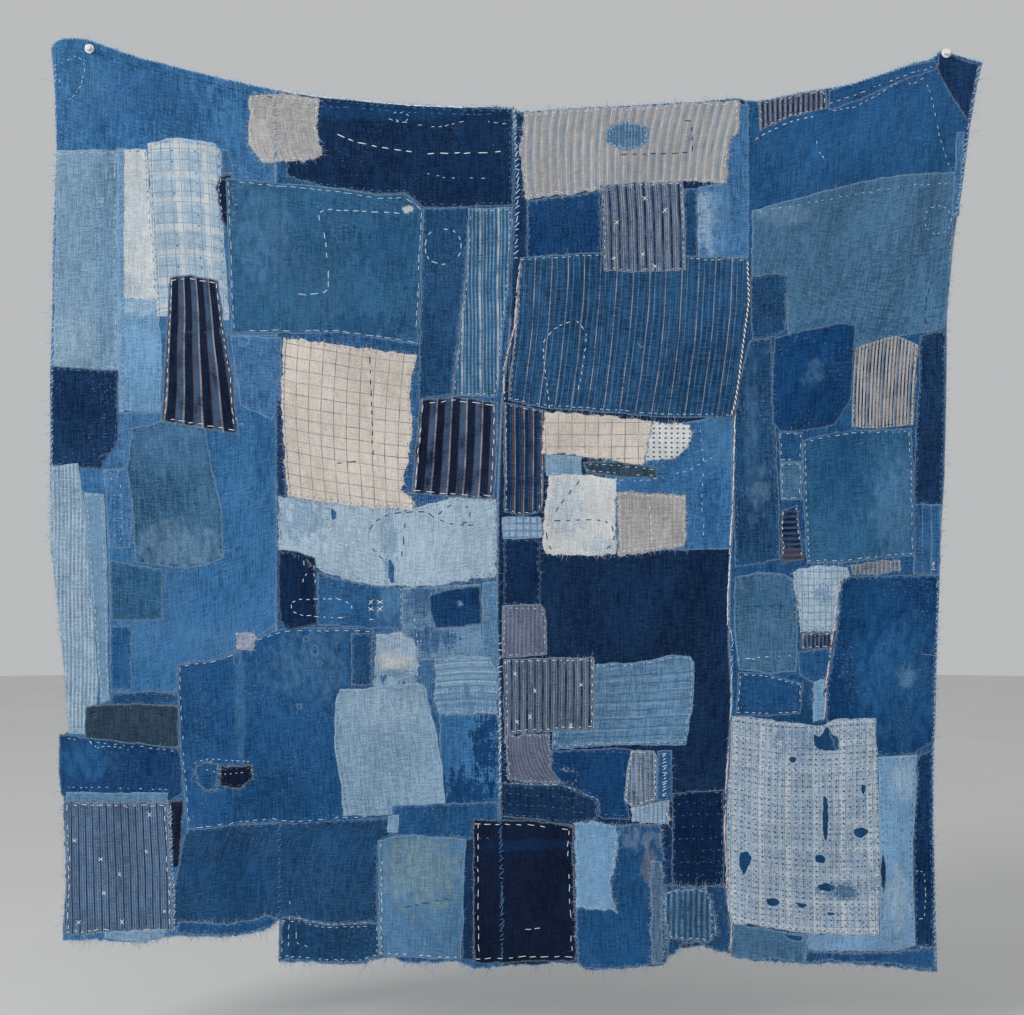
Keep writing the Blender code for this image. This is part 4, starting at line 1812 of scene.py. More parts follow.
@dataclass
class FrayedEdges:
    """Fibres at raw and worn edges, and the longer loose ends."""

    relief: Relief
    draws: np.random.Generator
    base: BaseCloths
    patchwork: Patchwork
    loose_ends: tuple[tuple[Thread, tuple[Place, ...], float], ...]
    boxes: dict[Thread, Fibres] = field(default_factory=dict)
    pieces: list[bpy.types.Object] = field(default_factory=list)

    def _box(self, thread: Thread) -> Fibres:
        """The fibres of one thread so far."""
        return self.boxes.setdefault(thread, Fibres(thread))

    def _fray(self, side: Run, frays: tuple[Fray, ...]) -> None:
        """Frays one side of a cloth in each of its ways."""
        for fray in frays:
            self._box(fray.thread).along_edge(side, fray, self.draws)

    def _frays_of(self, patch: Patch) -> tuple[Fray, ...]:
        """How a patch frays, by its rim and how light it is."""
        if patch.rim is Rim.TURNED:
            return TURNED_FRAYS
        return RAW_LIGHT_FRAYS if sum(patch.cotton.ground.value) > LIGHT_CLOTH else RAW_FRAYS

    def build(self) -> None:
        """Frays the edges and makes a piece for each thread."""
        for outline in self.base.edges:
            self._fray(outline.sides[0], TOP_FRAYS)
            self._fray(outline.sides[2], FOOT_FRAYS)
        for side in (self.base.edges[0].sides[3], self.base.edges[-1].sides[1]):
            self._fray(side, SELVEDGE_FRAYS)
        for patch, sheet in zip(self.patchwork.patches, self.patchwork.sheets):
            for side in sheet.outline.sides:
                self._fray(side, self._frays_of(patch))
        for thread, points, lift in self.loose_ends:
            self._box(thread).loose(points, lift)
        shape = SmallPart.modelled(3, (0.0,), 1.0, 0.3)
        for thread, box in self.boxes.items():
            piece = box.build(f"{thread.name.lower()}_frayed_ends", self.relief, shape)
            self.pieces.append(piece)
            LOG.info("frayed %d %s ends", sum(map(len, box.roots)), thread.name.lower())

    def dress(self) -> None:
        """Gives each fibre its colour."""
        for piece, thread in zip(self.pieces, self.boxes):
            dress_in(piece, thread)


@dataclass
class TwistedCord:
    """A cord of a white and a brown strand, sewn along an edge."""

    relief: Relief
    name: str
    points: tuple[Place, ...]
    strand_radius: float = CORD_RADIUS
    twist: float = 5.2
    threads: tuple[Thread, ...] = (Thread.WHITE, Thread.BROWN)
    pieces: list[bpy.types.Object] = field(default_factory=list)

    def build(self) -> None:
        """Winds two strands round the line of the edge."""
        run = Run.through(list(self.points), 1.0, 2)
        count = int(run.length / 0.8)
        shares = np.linspace(0.0, 1.0, count)
        line = run.at(shares)
        x, y = line.T
        path = np.stack(
            [world_x(x), -self.relief.front(x, y) - 0.7 * self.strand_radius, world_z(y)], axis=1
        )
        along = np.gradient(path, axis=0)
        along /= np.linalg.norm(along, axis=1)[:, None]
        out = np.array([0.0, -1.0, 0.0])
        side = np.cross(along, out)
        side /= np.linalg.norm(side, axis=1)[:, None]
        top = np.cross(side, along)
        for start, thread in zip((0.0, math.pi), self.threads):
            turn = start + 2 * math.pi * shares * run.length / self.twist
            wound = side * np.cos(turn)[:, None] + top * np.sin(turn)[:, None]
            strand = path + 0.62 * self.strand_radius * wound
            name = f"{thread.name.lower()}_strand_of_{self.name}"
            self.pieces.append(sweep_tube(name, strand, 0.72 * self.strand_radius))

    def dress(self) -> None:
        """Gives each strand its thread."""
        for piece, thread in zip(self.pieces, self.threads):
            dress_in(piece, thread)


def sweep_tube(name: str, path: np.ndarray, radius: float) -> bpy.types.Object:
    """Makes a round strand along a path, as a bevelled curve turned into a mesh.

    Args:
        name: The piece's name.
        path: The strand's centre line, in metres.
        radius: Its radius in metres.

    Returns:
        The piece.
    """
    curve = bpy.data.curves.new(name, "CURVE")
    curve.dimensions = "3D"
    curve.bevel_depth = radius
    curve.bevel_resolution = 2
    curve.use_fill_caps = True
    spline = curve.splines.new("POLY")
    spline.points.add(len(path) - 1)
    spline.points.foreach_set("co", np.hstack([path, np.ones((len(path), 1))]).ravel())
    piece = bpy.data.objects.new(name, curve)
    bpy.context.scene.collection.objects.link(piece)
    hold(piece)
    bpy.ops.object.convert(target="MESH")
    piece = bpy.context.object
    piece.name = name
    bpy.ops.object.shade_smooth()
    return piece


@dataclass
class PushPin:
    """A push pin: a finer turned grip, and the needle of the solids in drawn steel."""

    name: str
    place: Place
    collar_radius: float = 0.0067
    collar_thickness: float = 0.0022
    waist_radius: float = 0.0029
    grip_radius: float = 0.0041
    grip_length: float = 0.0175
    socket_radius: float = 0.0009
    socket_depth: float = 0.007
    running_gap: float = 0.0003
    edge: float = 0.0004
    facets: int = 40
    crown: float = 0.0035
    waist_rings: int = 12
    grip: bpy.types.Object | None = None

    def _profile(self) -> list[tuple[float, float]]:
        """Radius and depth from the socket's bottom round the back to the front."""
        back = self.running_gap
        front = back + self.grip_length
        collar = back + self.collar_thickness
        half = 0.3 * self.edge
        profile = [
            (self.socket_radius, back + self.socket_depth), (self.socket_radius, back),
            (self.collar_radius - self.edge, back), (self.collar_radius - half, back + half),
            (self.collar_radius, back + self.edge), (self.collar_radius, collar - self.edge),
            (self.collar_radius - half, collar - half), (self.collar_radius - self.edge, collar),
            (self.grip_radius + self.edge, collar + 0.6 * self.edge),
        ]
        start, stop = collar + 1.5 * self.edge, front - self.crown
        for k in range(self.waist_rings + 1):
            share = k / self.waist_rings
            draw_in = math.sin(math.pi * share) ** 0.6
            radius = self.grip_radius - (self.grip_radius - self.waist_radius) * draw_in
            profile.append((radius, start + share * (stop - start)))
        profile += [
            (self.grip_radius, front - 2 * self.edge),
            (self.grip_radius - 0.6 * self.edge, front - 0.6 * self.edge),
            (self.grip_radius - 2 * self.edge, front), (0.5 * self.grip_radius, front),
        ]
        return profile

    def build(self) -> None:
        """Draws the grip out of a small disc, ring by ring."""
        profile = self._profile()
        radius, depth = profile[0]
        deselect_all()
        bpy.ops.mesh.primitive_circle_add(
            vertices=self.facets, radius=radius, fill_type="NGON",
            location=(world_x(self.place.x), -depth, world_z(self.place.y)),
            rotation=(math.pi / 2, 0.0, 0.0),
        )
        piece = bpy.context.object
        piece.name = f"{self.name}_turned_grip"
        bpy.ops.object.transform_apply(location=True, rotation=True, scale=True)
        bpy.ops.object.mode_set(mode="EDIT")
        bpy.ops.mesh.select_all(action="SELECT")
        for next_radius, next_depth in profile[1:]:
            bpy.ops.mesh.extrude_region_move(
                TRANSFORM_OT_translate={"value": (0.0, depth - next_depth, 0.0)}
            )
            share = next_radius / radius
            bpy.ops.transform.resize(value=(share, 1.0, share))
            radius, depth = next_radius, next_depth
        bpy.ops.mesh.select_all(action="DESELECT")
        bpy.ops.mesh.select_mode(type="EDGE")
        bpy.ops.mesh.select_non_manifold()
        bpy.ops.mesh.edge_face_add()
        bpy.ops.mesh.select_all(action="SELECT")
        bpy.ops.mesh.normals_make_consistent(inside=False)
        bpy.ops.object.mode_set(mode="OBJECT")
        bpy.ops.object.shade_smooth_by_angle(angle=math.radians(42))
        self.grip = piece

    def dress(self) -> None:
        """Gives the grip clear white plastic and the needle bright steel."""
        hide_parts(f"{self.name}_grip")
        ride_as(self.grip)
        self.grip.data.materials.append(PIN_PLASTIC.material(f"{self.name}_plastic"))
        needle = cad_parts[f"{self.name}_needle"]
        steel = PIN_STEEL.material(f"{self.name}_steel")
        for slot in needle.material_slots:
            slot.material = steel


class Lamp(NamedTuple):
    """A square soft light: its place and side in metres, and its power in watts."""

    name: str
    place: tuple[float, float, float]
    size: float
    power: float


LAMPS = (
    Lamp("key_light", (-4.6, -6.0, 2.4), 3.2, 470.0),
    Lamp("fill_light", (5.0, -6.4, -0.2), 4.0, 110.0),
)
ROOM_COLOUR = (0.80, 0.81, 0.82, 1.0)
ROOM_STRENGTH = 0.62
FLOOR_DARK = (0.66, 0.66, 0.65, 1.0)
FLOOR_LIGHT = (0.72, 0.72, 0.71, 1.0)


@dataclass
class Studio:
    """A pale floor, soft light from the upper left, and the photograph's camera."""

    view_centre: Place = Place(512.0, 507.5)
    view_width: float = 1024.0
    distance: float = 4.0
    sensor: float = 36.0
    cloth_depth: float = 0.011
    floor_drop: float = 0.1
    floor_radius: float = 9.0

    def build(self) -> None:
        """Makes the floor, the lights, the world and the camera."""
        self._floor()
        centre = (0.0, 0.0, world_z(self.view_centre.y))
        for lamp in LAMPS:
            self._hang(lamp, centre)
        self._world()
        deselect_all()
        place = (world_x(self.view_centre.x), -self.distance - self.cloth_depth, centre[2])
        bpy.ops.object.camera_add(location=place, rotation=(math.pi / 2, 0.0, 0.0))
        camera = bpy.context.object
        camera.name = "front_camera"
        camera.data.sensor_width = self.sensor
        camera.data.lens = self.sensor * self.distance / (self.view_width * SQUARE)
        camera.data.clip_end = 60.0
        bpy.context.scene.camera = camera
        bpy.context.scene.view_settings.view_transform = "Standard"

    def _floor(self) -> None:
        """Lays a pale round floor under the hanging."""
        deselect_all()
        bpy.ops.mesh.primitive_circle_add(
            vertices=96, radius=self.floor_radius, fill_type="NGON",
            location=(0.0, 0.0, CAD_BOX[0].z - self.floor_drop),
        )
        floor = bpy.context.object
        floor.name = "pale_floor"
        bench = Bench("pale_floor_paint")
        place = bench.placed(bench.coordinates("Object"), (1.5, 1.5, 0.0), (0.0, 0.0, 0.0))
        cloud = bench.node(
            "ShaderNodeTexNoise", {"noise_dimensions": "2D"}, {"Vector": place, "Scale": 1.0}
        )
        colour = bench.blend(FLOOR_DARK, FLOOR_LIGHT, cloud)
        floor.data.materials.append(bench.finish({"Base Color": colour, "Roughness": 0.8}))

    def _hang(self, lamp: Lamp, aim: tuple) -> None:
        """Hangs a lamp that faces a point.

        Args:
            lamp: The lamp.
            aim: The point that it faces, in metres.
        """
        deselect_all()
        turn = (Vector(aim) - Vector(lamp.place)).to_track_quat("-Z", "Y").to_euler()
        bpy.ops.object.light_add(type="AREA", location=lamp.place, rotation=turn)
        light = bpy.context.object
        light.name = lamp.name
        light.data.size = lamp.size
        light.data.energy = lamp.power

    def _world(self) -> None:
        """Gives the room its even pale light."""
        world = bpy.data.worlds.new("pale_room")
        world.use_nodes = True
        background = world.node_tree.nodes["Background"]
        background.inputs["Color"].default_value = ROOM_COLOUR
        background.inputs["Strength"].default_value = ROOM_STRENGTH
        bpy.context.scene.world = world


U, L = Facing.UPRIGHT, Facing.LEVEL
RAW = Rim.RAW
WHITE, PALE, BLUE, DARK, TAN, PINK, BROWN = (
    Thread.WHITE, Thread.ICE, Thread.BLUE, Thread.NAVY, Thread.TAN, Thread.PINK, Thread.BROWN
)

WASHED = Cotton(Dye.WASHED, fading=0.35, specks=0.5)
MID = Cotton(Dye.MID, Dye.STEEL, 0.35)
DEEP = Cotton(Dye.DEEP, Dye.STEEL, 0.2, specks=0.2)
INK = Cotton(Dye.INK, Dye.STEEL, 0.25)
NAVY = Cotton(Dye.NAVY, Dye.STEEL, 0.15, specks=0.15, rub=0.25)
MIDNIGHT = Cotton(Dye.MIDNIGHT, Dye.STEEL, 0.1, specks=0.1, rub=0.2)
STEEL = Cotton(Dye.STEEL, fading=0.35, specks=0.5)
GREY_BLUE = Cotton(Dye.GREY_BLUE, Dye.HAZE, 0.25, specks=0.2)
HAZE = Cotton(Dye.HAZE, Dye.ICE, 0.15)
SKY = Cotton(Dye.SKY, Dye.ICE, 0.3)
ICE = Cotton(Dye.ICE, Dye.MILK, 0.3, slub=0.7, specks=0.2)
MAUVE = Cotton(Dye.MAUVE, Dye.TAN, 0.2, bands=(Band(4.2, 1.3, Dye.NAVY, strength=0.4),))
DARK_STRIPE = Cotton(Dye.BLACK_NAVY, Dye.SLATE, 0.2, specks=0.0, slub=0.6, bands=(
    Band(15.8, 6.6, Dye.SLATE, strength=0.85), Band(15.8, 1.5, Dye.TAN, 3.4, strength=0.7),
    Band(15.8, 1.1, Dye.BROWN, -3.4),
))
CREAM_CHECK = Cotton(Dye.CREAM, Dye.MILK, slub=0.5, specks=0.0, rub=0.1, bands=(
    Band(14.2, 0.9, Dye.MAUVE, 3.0, strength=0.75), Band(12.8, 0.9, Dye.MAUVE, 5.0, L, 0.62),
))
TAN_STRIPE = Cotton(Dye.OAT, Dye.TAN, slub=0.8, bands=(
    Band(9.1, 2.4, Dye.STEEL, strength=0.45), Band(9.1, 0.8, Dye.CREAM, 3.9, strength=0.7),
    Band(4.55, 0.7, Dye.STEEL, 2.1, strength=0.4),
))
FINE_STRIPE = Cotton(Dye.TEAL_BLUE, Dye.STEEL, specks=0.2, bands=(
    Band(3.65, 1.4, Dye.CLOUD, strength=0.55), Band(18.2, 1.8, Dye.MILK, 1.0, strength=0.5),
))
NAVY_STRIPE = Cotton(Dye.SLATE, Dye.CLOUD, specks=0.1, bands=(
    Band(2.18, 0.8, Dye.OAT, 1.1, strength=0.75), Band(8.7, 2.6, Dye.NAVY, strength=0.9),
))
LARGE_STRIPE = Cotton(Dye.INK, Dye.STEEL, 0.3, slub=1.35, specks=0.2, bands=(
    Band(16.3, 0.8, Dye.OAT, strength=0.75), Band(16.3, 0.7, Dye.HAZE, 5.4, strength=0.5),
    Band(16.3, 0.6, Dye.STEEL, -5.2, strength=0.55), Band(5.9, 0.6, Dye.STEEL, 1.2, strength=0.4),
))
BROWN_STRIPE = Cotton(Dye.NAVY, Dye.SLATE, specks=0.0, bands=(
    Band(9.0, 1.6, Dye.BROWN, strength=0.9), Band(9.0, 1.1, Dye.TAN, 2.0, strength=0.7),
    Band(9.0, 0.9, Dye.SLATE, -2.2, strength=0.6),
))
BLOCK_STRIPE = Cotton(Dye.SLATE, Dye.TAN, specks=0.1, bands=(
    Band(2.6, 0.9, Dye.OAT, 1.3, strength=0.6), Band(7.8, 2.8, Dye.NAVY),
))
SQUARE_STRIPE = Cotton(Dye.SLATE, Dye.HAZE, specks=0.2, bands=(
    Band(7.9, 2.0, Dye.NAVY), Band(2.63, 0.8, Dye.CLOUD, 1.3, strength=0.5),
))
THIN_STRIPE = Cotton(Dye.OAT, Dye.MILK, specks=0.0, bands=(
    Band(3.6, 1.5, Dye.NAVY, strength=0.85), Band(14.4, 1.6, Dye.GREY_BLUE, 2.2, strength=0.6),
))
PALE_STRIPE = Cotton(Dye.HAZE, Dye.MILK, 0.2, bands=(
    Band(2.9, 1.1, Dye.MILK, strength=0.45), Band(8.7, 1.2, Dye.STEEL, 1.4, strength=0.3),
))
WINDOWPANE = Cotton(
    Dye.ICE, Dye.MILK, slub=0.6, specks=0.0,
    bands=(
        Band(28.8, 7.0, Dye.MILK, 1.0, strength=0.75), Band(26.0, 7.0, Dye.MILK, -7.0, L, 0.6),
        Band(9.6, 0.8, Dye.STEEL, 3.0, strength=0.62), Band(10.4, 0.8, Dye.STEEL, 2.0, L, 0.5),
    ),
    dots=(Dots(24.0, 10.4, 0.9, Dye.NAVY, 0.85, 0.4),),
)
BIG_PLAID = Cotton(
    Dye.CLOUD, Dye.MILK, 0.7, slub=0.6, specks=0.5,
    bands=(
        Band(26.8, 5.0, Dye.MILK, 6.0, L, 0.32, 1.4), Band(26.8, 5.4, Dye.MILK, 6.0, U, 0.45, 1.4),
        Band(6.7, 0.6, Dye.STEEL, 2.0, strength=0.7), Band(6.7, 0.6, Dye.STEEL, 1.0, L, 0.6),
    ),
    dots=(Dots(6.7, 5.4, 0.9, Dye.NAVY, 0.85, 0.4), Dots(4.1, 4.7, 0.8, Dye.MIDNIGHT, 0.8, 0.56)),
    spots=(
        Spot(800, 738, 26, 16, Dye.STEEL, 0.35, 1.4), Spot(840, 891, 20, 9, Dye.GREY_BLUE, 0.6, 0.9),
    ),
)

BASE_COTTONS = {
    "left_panel": ("washed_cotton", Cotton(
        Dye.WASHED, Dye.SKY, 0.4, specks=0.5, rub=0.5,
        spots=(
            Spot(140, 95, 80, 50, Dye.MID, 0.35, 0.8), Spot(260, 560, 14, 80, Dye.SKY, 0.35, 1.2),
            Spot(200, 620, 40, 40, Dye.SKY, 0.3, 1.2), Spot(85, 90, 25, 30, Dye.STEEL, 0.3, 1.0),
        ),
    )),
    "centre_left_panel": ("mid_cotton", Cotton(
        Dye.MID, Dye.SKY, 0.35, specks=0.4, rub=0.5,
        spots=(
            Spot(445, 650, 60, 60, Dye.STEEL, 0.55, 1.0), Spot(490, 640, 10, 60, Dye.SKY, 0.5, 1.2),
            Spot(392, 685, 26, 12, Dye.ICE, 0.6, 1.2),
        ),
    )),
    "centre_right_panel": ("deep_cotton", Cotton(
        Dye.MIDNIGHT, Dye.STEEL, 0.14, specks=0.12, rub=0.4,
        spots=(
            Spot(700, 850, 30, 40, Dye.DEEP, 0.5, 0.8), Spot(620, 900, 60, 60, Dye.MID, 0.6, 0.8),
            Spot(610, 770, 40, 20, Dye.DEEP, 0.6, 0.8),
        ),
    )),
    "right_panel": ("faded_cotton", Cotton(
        Dye.MID, Dye.STEEL, 0.3, specks=0.3, rub=0.5,
        spots=(
            # The two lighter spots in the next row are painted light: the bright band of the folds that
            # hang from the right pin.
            Spot(850, 140, 80, 30, Dye.WASHED, 0.3, 1.2), Spot(930, 130, 24, 50, Dye.WASHED, 0.3, 1.2),
            Spot(803, 820, 80, 120, Dye.INK, 0.9, 0.1),
        ),
    )),
}

WHITE_ROUND = (Sewing(WHITE, 3.4, 5.5, 3.6),)
PALE_ROUND = (Sewing(PALE, 2.4, 3.6, 3.4),)
NAVY_ROUND = (Sewing(DARK, 2.6, 3.4, 3.6),)
NO_SEWING = ()

LEFT_PATCHES = (
    Patch("mid_field", Cotton(Dye.WASHED, Dye.SKY, 0.25, specks=0.5, spots=(
        Spot(245, 370, 16, 26, Dye.SKY, 0.35, 1.2), Spot(150, 600, 40, 60, Dye.STEEL, 0.3, 1.2),
        Spot(215, 640, 40, 20, Dye.STEEL, 0.35, 1.2), Spot(262, 420, 10, 60, Dye.MID, 0.4, 1.0),
    )), ring(
        122, 330, 276, 335, 276, 500, 277, 560, 276, 625, 234, 652, 220, 659, 177, 665, 177, 693,
        110, 693, 108, 560, 104, 412,
    ), (0, 1, 4, 9)),
    Patch("grey_blue_strip", Cotton(Dye.HAZE, Dye.ICE, 0.35, specks=0.4, spots=(
        Spot(108, 260, 12, 110, Dye.STEEL, 0.35, 0.8), Spot(70, 340, 20, 30, Dye.ICE, 0.3, 1.2),
    )), ring(56, 150, 118, 150, 118, 370, 53, 370), sewing=(
        Sewing(PALE, 3.0, 3.0, 4.0), Sewing(BLUE, 24.0, 2.4, 5.0, "L"),
    )),
    Patch("cream_strip", Cotton(Dye.MILK, Dye.MILK, slub=0.6, specks=0.0, spots=(
        Spot(138, 292, 20, 18, Dye.ICE, 0.4, 0.8), Spot(134, 220, 14, 60, Dye.ICE, 0.35, 1.0),
    )), ring(120, 148, 146, 149, 152, 220, 158, 302, 121, 300), (0, 1, 3, 4)),
    Patch("sky_strip", Cotton(Dye.SKY, Dye.ICE, 0.1, specks=0.3, spots=(
        Spot(142, 306, 24, 10, Dye.ICE, 0.6, 0.8), Spot(142, 390, 24, 30, Dye.STEEL, 0.35, 1.0),
    )), ring(121, 298, 158, 300, 162, 360, 160, 412, 121, 410), (0, 1, 3, 4)),
    Patch("bright_seam_strip", SKY, ring(116.5, 148, 123.5, 148, 123.5, 412, 116.5, 412),
          sewing=NO_SEWING),
    Patch("windowpane_check", WINDOWPANE, ring(
        147, 143, 175, 138, 215, 143, 221, 150, 222, 200, 229, 320, 157, 316,
    ), (0, 3, 5, 6), sewing=(Sewing(BLUE, 2.0, 3.0, 3.0),)),
    Patch("small_blue_end", WASHED, ring(220, 149, 229, 150, 234, 172, 223, 174), sewing=NO_SEWING),
    Patch("torn_navy_bit", Cotton(Dye.BLACK_NAVY, Dye.STEEL, 0.1, specks=0.0), ring(
        220, 176, 232, 174, 233, 205, 231, 232, 227, 232, 221, 218, 218, 202, 217, 190,
    ), (0, 1, 3, 5), rim=RAW, sewing=(Sewing(PALE, 2.8, 3.4, 2.2, "LR"),)),
    Patch("mid_blue_corner", WASHED, ring(103, 412, 165, 412, 135, 470, 102, 470)),
    Patch("navy_left", Cotton(Dye.NAVY, Dye.STEEL, 0.15, specks=0.35),
          ring(50, 366, 118, 370, 118, 440, 101, 470, 51, 465), (0, 1, 3, 4)),
    Patch("worn_teal", Cotton(Dye.WASHED, Dye.ICE, 0.25, specks=0.4), ring(103, 470, 131, 468, 133,
        505, 131, 548, 109, 548, 106, 505),
          (0, 1, 3, 4), rows=(Rows(PALE, 7.0, U, 2.4, 4.6),)),
    Patch("shoulder_patch", Cotton(Dye.TEAL_BLUE, Dye.HAZE, 0.4, specks=0.4, spots=(
        Spot(180, 548, 40, 22, Dye.HAZE, 0.45, 1.2), Spot(172, 446, 38, 28, Dye.STEEL, 0.6, 1.2),
    )), ring(
        131, 428, 162, 421, 205, 427, 212, 470, 221, 505, 224, 558, 205, 566, 186, 569, 163, 567,
        135, 562, 132, 505, 126, 470,
    ), (0, 2, 5, 9), sewing=NAVY_ROUND),
    Patch("tan_hole_piece", WASHED, ring(230, 335, 281, 337, 281, 400, 272, 420, 255, 412, 240, 405,
        236, 380),
          (0, 1, 3, 5), holes=(ring(239, 337, 244, 336, 248, 340, 246, 346, 240, 345),)),
    Patch("dark_seam_strip", NAVY, ring(276, 400, 285, 400, 285, 496, 276, 496), sewing=NO_SEWING),
    Patch("dark_stripe_left", DARK_STRIPE, ring(
        169, 277, 190, 274, 218, 280, 225, 330, 234, 380, 238, 434, 161, 421,
    ), (0, 2, 5, 6), sewing=WHITE_ROUND),
    Patch("narrow_stripe", PALE_STRIPE, ring(
        51, 466, 78, 463, 84, 505, 88, 555, 93, 605, 95, 646, 98, 690, 92, 734, 68.5, 734,
        66, 697, 61.5, 651, 57, 604, 49.5, 543, 49.5, 500,
    ), (0, 1, 7, 8), sewing=PALE_ROUND),
    Patch("sky_sliver", Cotton(Dye.HAZE, Dye.STEEL, 0.4), ring(
        84, 492, 104, 494, 107, 560, 108, 686, 110, 700, 100, 704, 96, 646, 92, 604, 87, 555,
    ), (0, 1, 4, 5), sewing=PALE_ROUND),
    Patch("faded_square", Cotton(Dye.TEAL_BLUE, Dye.HAZE, 0.15),
          ring(109, 560, 163, 569, 163, 620, 110, 621), rows=(Rows(BLUE, 12.0),)),
    Patch("lower_strip", MID, ring(110, 626, 131, 626, 131, 690, 110, 690)),
    Patch("dark_band", INK, ring(110, 694, 147, 691, 178, 694, 178, 706, 110, 706), (0, 2, 3, 4)),
    Patch("olive_patch", Cotton(Dye.OLIVE, Dye.SLATE, 0.2, specks=0.1), ring(
        86, 706, 110, 704, 146, 704, 178, 706.5, 178.5, 748, 150, 748.5, 129, 750, 110, 752,
        85, 752, 84, 737, 85, 715,
    ), (0, 3, 4, 8), sewing=NAVY_ROUND),
    Patch("left_lower_cloth", Cotton(Dye.DEEP, Dye.STEEL, 0.25, specks=0.2, spots=(
        Spot(86, 760, 26, 18, Dye.WASHED, 0.5, 1.2),
    )), ring(
        59, 734, 84, 737, 178, 748, 182, 765, 183, 795, 168, 802, 66, 800, 60, 794, 58, 765,
    ), (0, 2, 5, 7), sewing=(Sewing(PALE, 4.0, 3.0, 5.0, "TB"),)),
    Patch("light_band", STEEL, ring(66, 792, 168, 793, 168, 803, 66, 803), sewing=NO_SEWING),
    Patch("striped_square", SQUARE_STRIPE, ring(
        63, 801, 168.5, 803, 169, 861, 172, 895, 173, 932, 110, 934, 66, 936, 63, 919, 65.5, 890,
        64.5, 840,
    ), (0, 1, 4, 6), rim=RAW, sewing=WHITE_ROUND),
    Patch("navy_bit", Cotton(Dye.BLACK_NAVY, fading=0.05, specks=0.0),
          ring(169, 801, 184, 800, 181, 844, 178, 869, 172, 869), (0, 1, 3, 4), sewing=NO_SEWING),
    Patch("pale_fringe", HAZE, ring(104, 932, 166, 929, 164, 937, 143, 943, 117, 941, 104, 938),
          (0, 1, 2, 5), rim=RAW, sewing=NO_SEWING),
    Patch("wide_blue_lower", Cotton(Dye.INK, Dye.STEEL, 0.3, specks=0.3, spots=(
        Spot(240, 880, 40, 30, Dye.MID, 0.4, 1.2), Spot(340, 850, 40, 20, Dye.MID, 0.4, 1.2),
    )), ring(
        187, 829, 237, 825, 285, 822, 340, 820, 388, 818, 392, 836, 378, 841, 377, 880, 378, 925,
        369, 923, 328, 924, 290, 918, 279, 919, 262, 932, 184, 936, 173, 931, 172, 894, 177, 869,
        181, 845,
    ), (0, 4, 8, 14)),
    Patch("left_hem_flap", MID, ring(
        177, 922, 230, 923, 270, 916, 278, 919, 270, 929, 245, 935, 200, 936, 176, 933,
    ), (0, 3, 4, 7), rim=RAW),
    Patch("lower_flap", Cotton(Dye.INK, Dye.GREY_BLUE, 0.3), ring(
        281, 918, 290, 918, 328, 924, 370, 923, 378, 925, 379, 957, 360, 963, 336, 963, 320, 963,
        300, 960, 278, 961, 279, 945,
    ), (0, 4, 5, 10), rim=RAW, sewing=PALE_ROUND),
    Patch("big_patch", Cotton(Dye.MID, Dye.SKY, 0.1, specks=0.4, spots=(
        Spot(312, 665, 40, 28, Dye.STEEL, 0.55, 2.0), Spot(240, 705, 5, 50, Dye.STEEL, 0.45, 1.2),
        Spot(300, 800, 70, 26, Dye.INK, 0.6, 1.0), Spot(360, 655, 14, 30, Dye.INK, 0.6, 0.8),
    )), ring(
        177, 665, 196, 662, 221, 659, 234, 652, 250, 640, 276, 630, 290, 628, 330, 628, 373, 629,
        372, 686, 380, 690, 392, 745, 388, 818, 340, 820.5, 295, 825, 270, 822, 237, 825,
        212, 829, 187.5, 830, 186, 820, 183, 786, 181, 765, 180, 737, 177.6, 704,
    ), (0, 8, 12, 18), sewing=(Sewing(PALE, 2.6, 5.0, 4.0),), holes=(
        ring(236, 652, 240, 653, 240, 662, 237, 667, 234, 660),
        ring(314, 645, 317, 648, 317, 655, 314, 657, 311, 652),
        ring(303, 637, 308, 638, 307, 642, 303, 641), ring(317, 661, 322, 662, 321, 666, 317, 665),
        ring(297, 704, 302, 705, 301, 709, 297, 708),
    )),
    Patch("dark_rectangle", INK, ring(351, 633, 372, 633, 372, 686, 351, 686)),
    Patch("pink_patch", Cotton(Dye.PINK, Dye.MILK, 0.3),
          ring(235, 633, 250, 631, 257, 638, 253, 651, 236, 649), (0, 2, 3, 4), rim=RAW,
          sewing=(Sewing(BLUE, 2.0, 2.4, 2.6),)),
    Patch("teal_mend", MID, ring(195, 766, 207, 762, 218, 764, 217, 790, 205, 792, 196, 782),
          (0, 2, 3, 5), rim=RAW, sewing=NAVY_ROUND),
    Patch("navy_mend", Cotton(Dye.BLACK_NAVY, Dye.STEEL, 0.05, specks=0.0), ring(
        219, 766, 252, 765, 252, 779, 246, 784, 236, 790, 219, 786,
    ), (0, 1, 3, 5), rim=RAW, sewing=(Sewing(BROWN, 3.0, 2.0, 3.0),)),
)

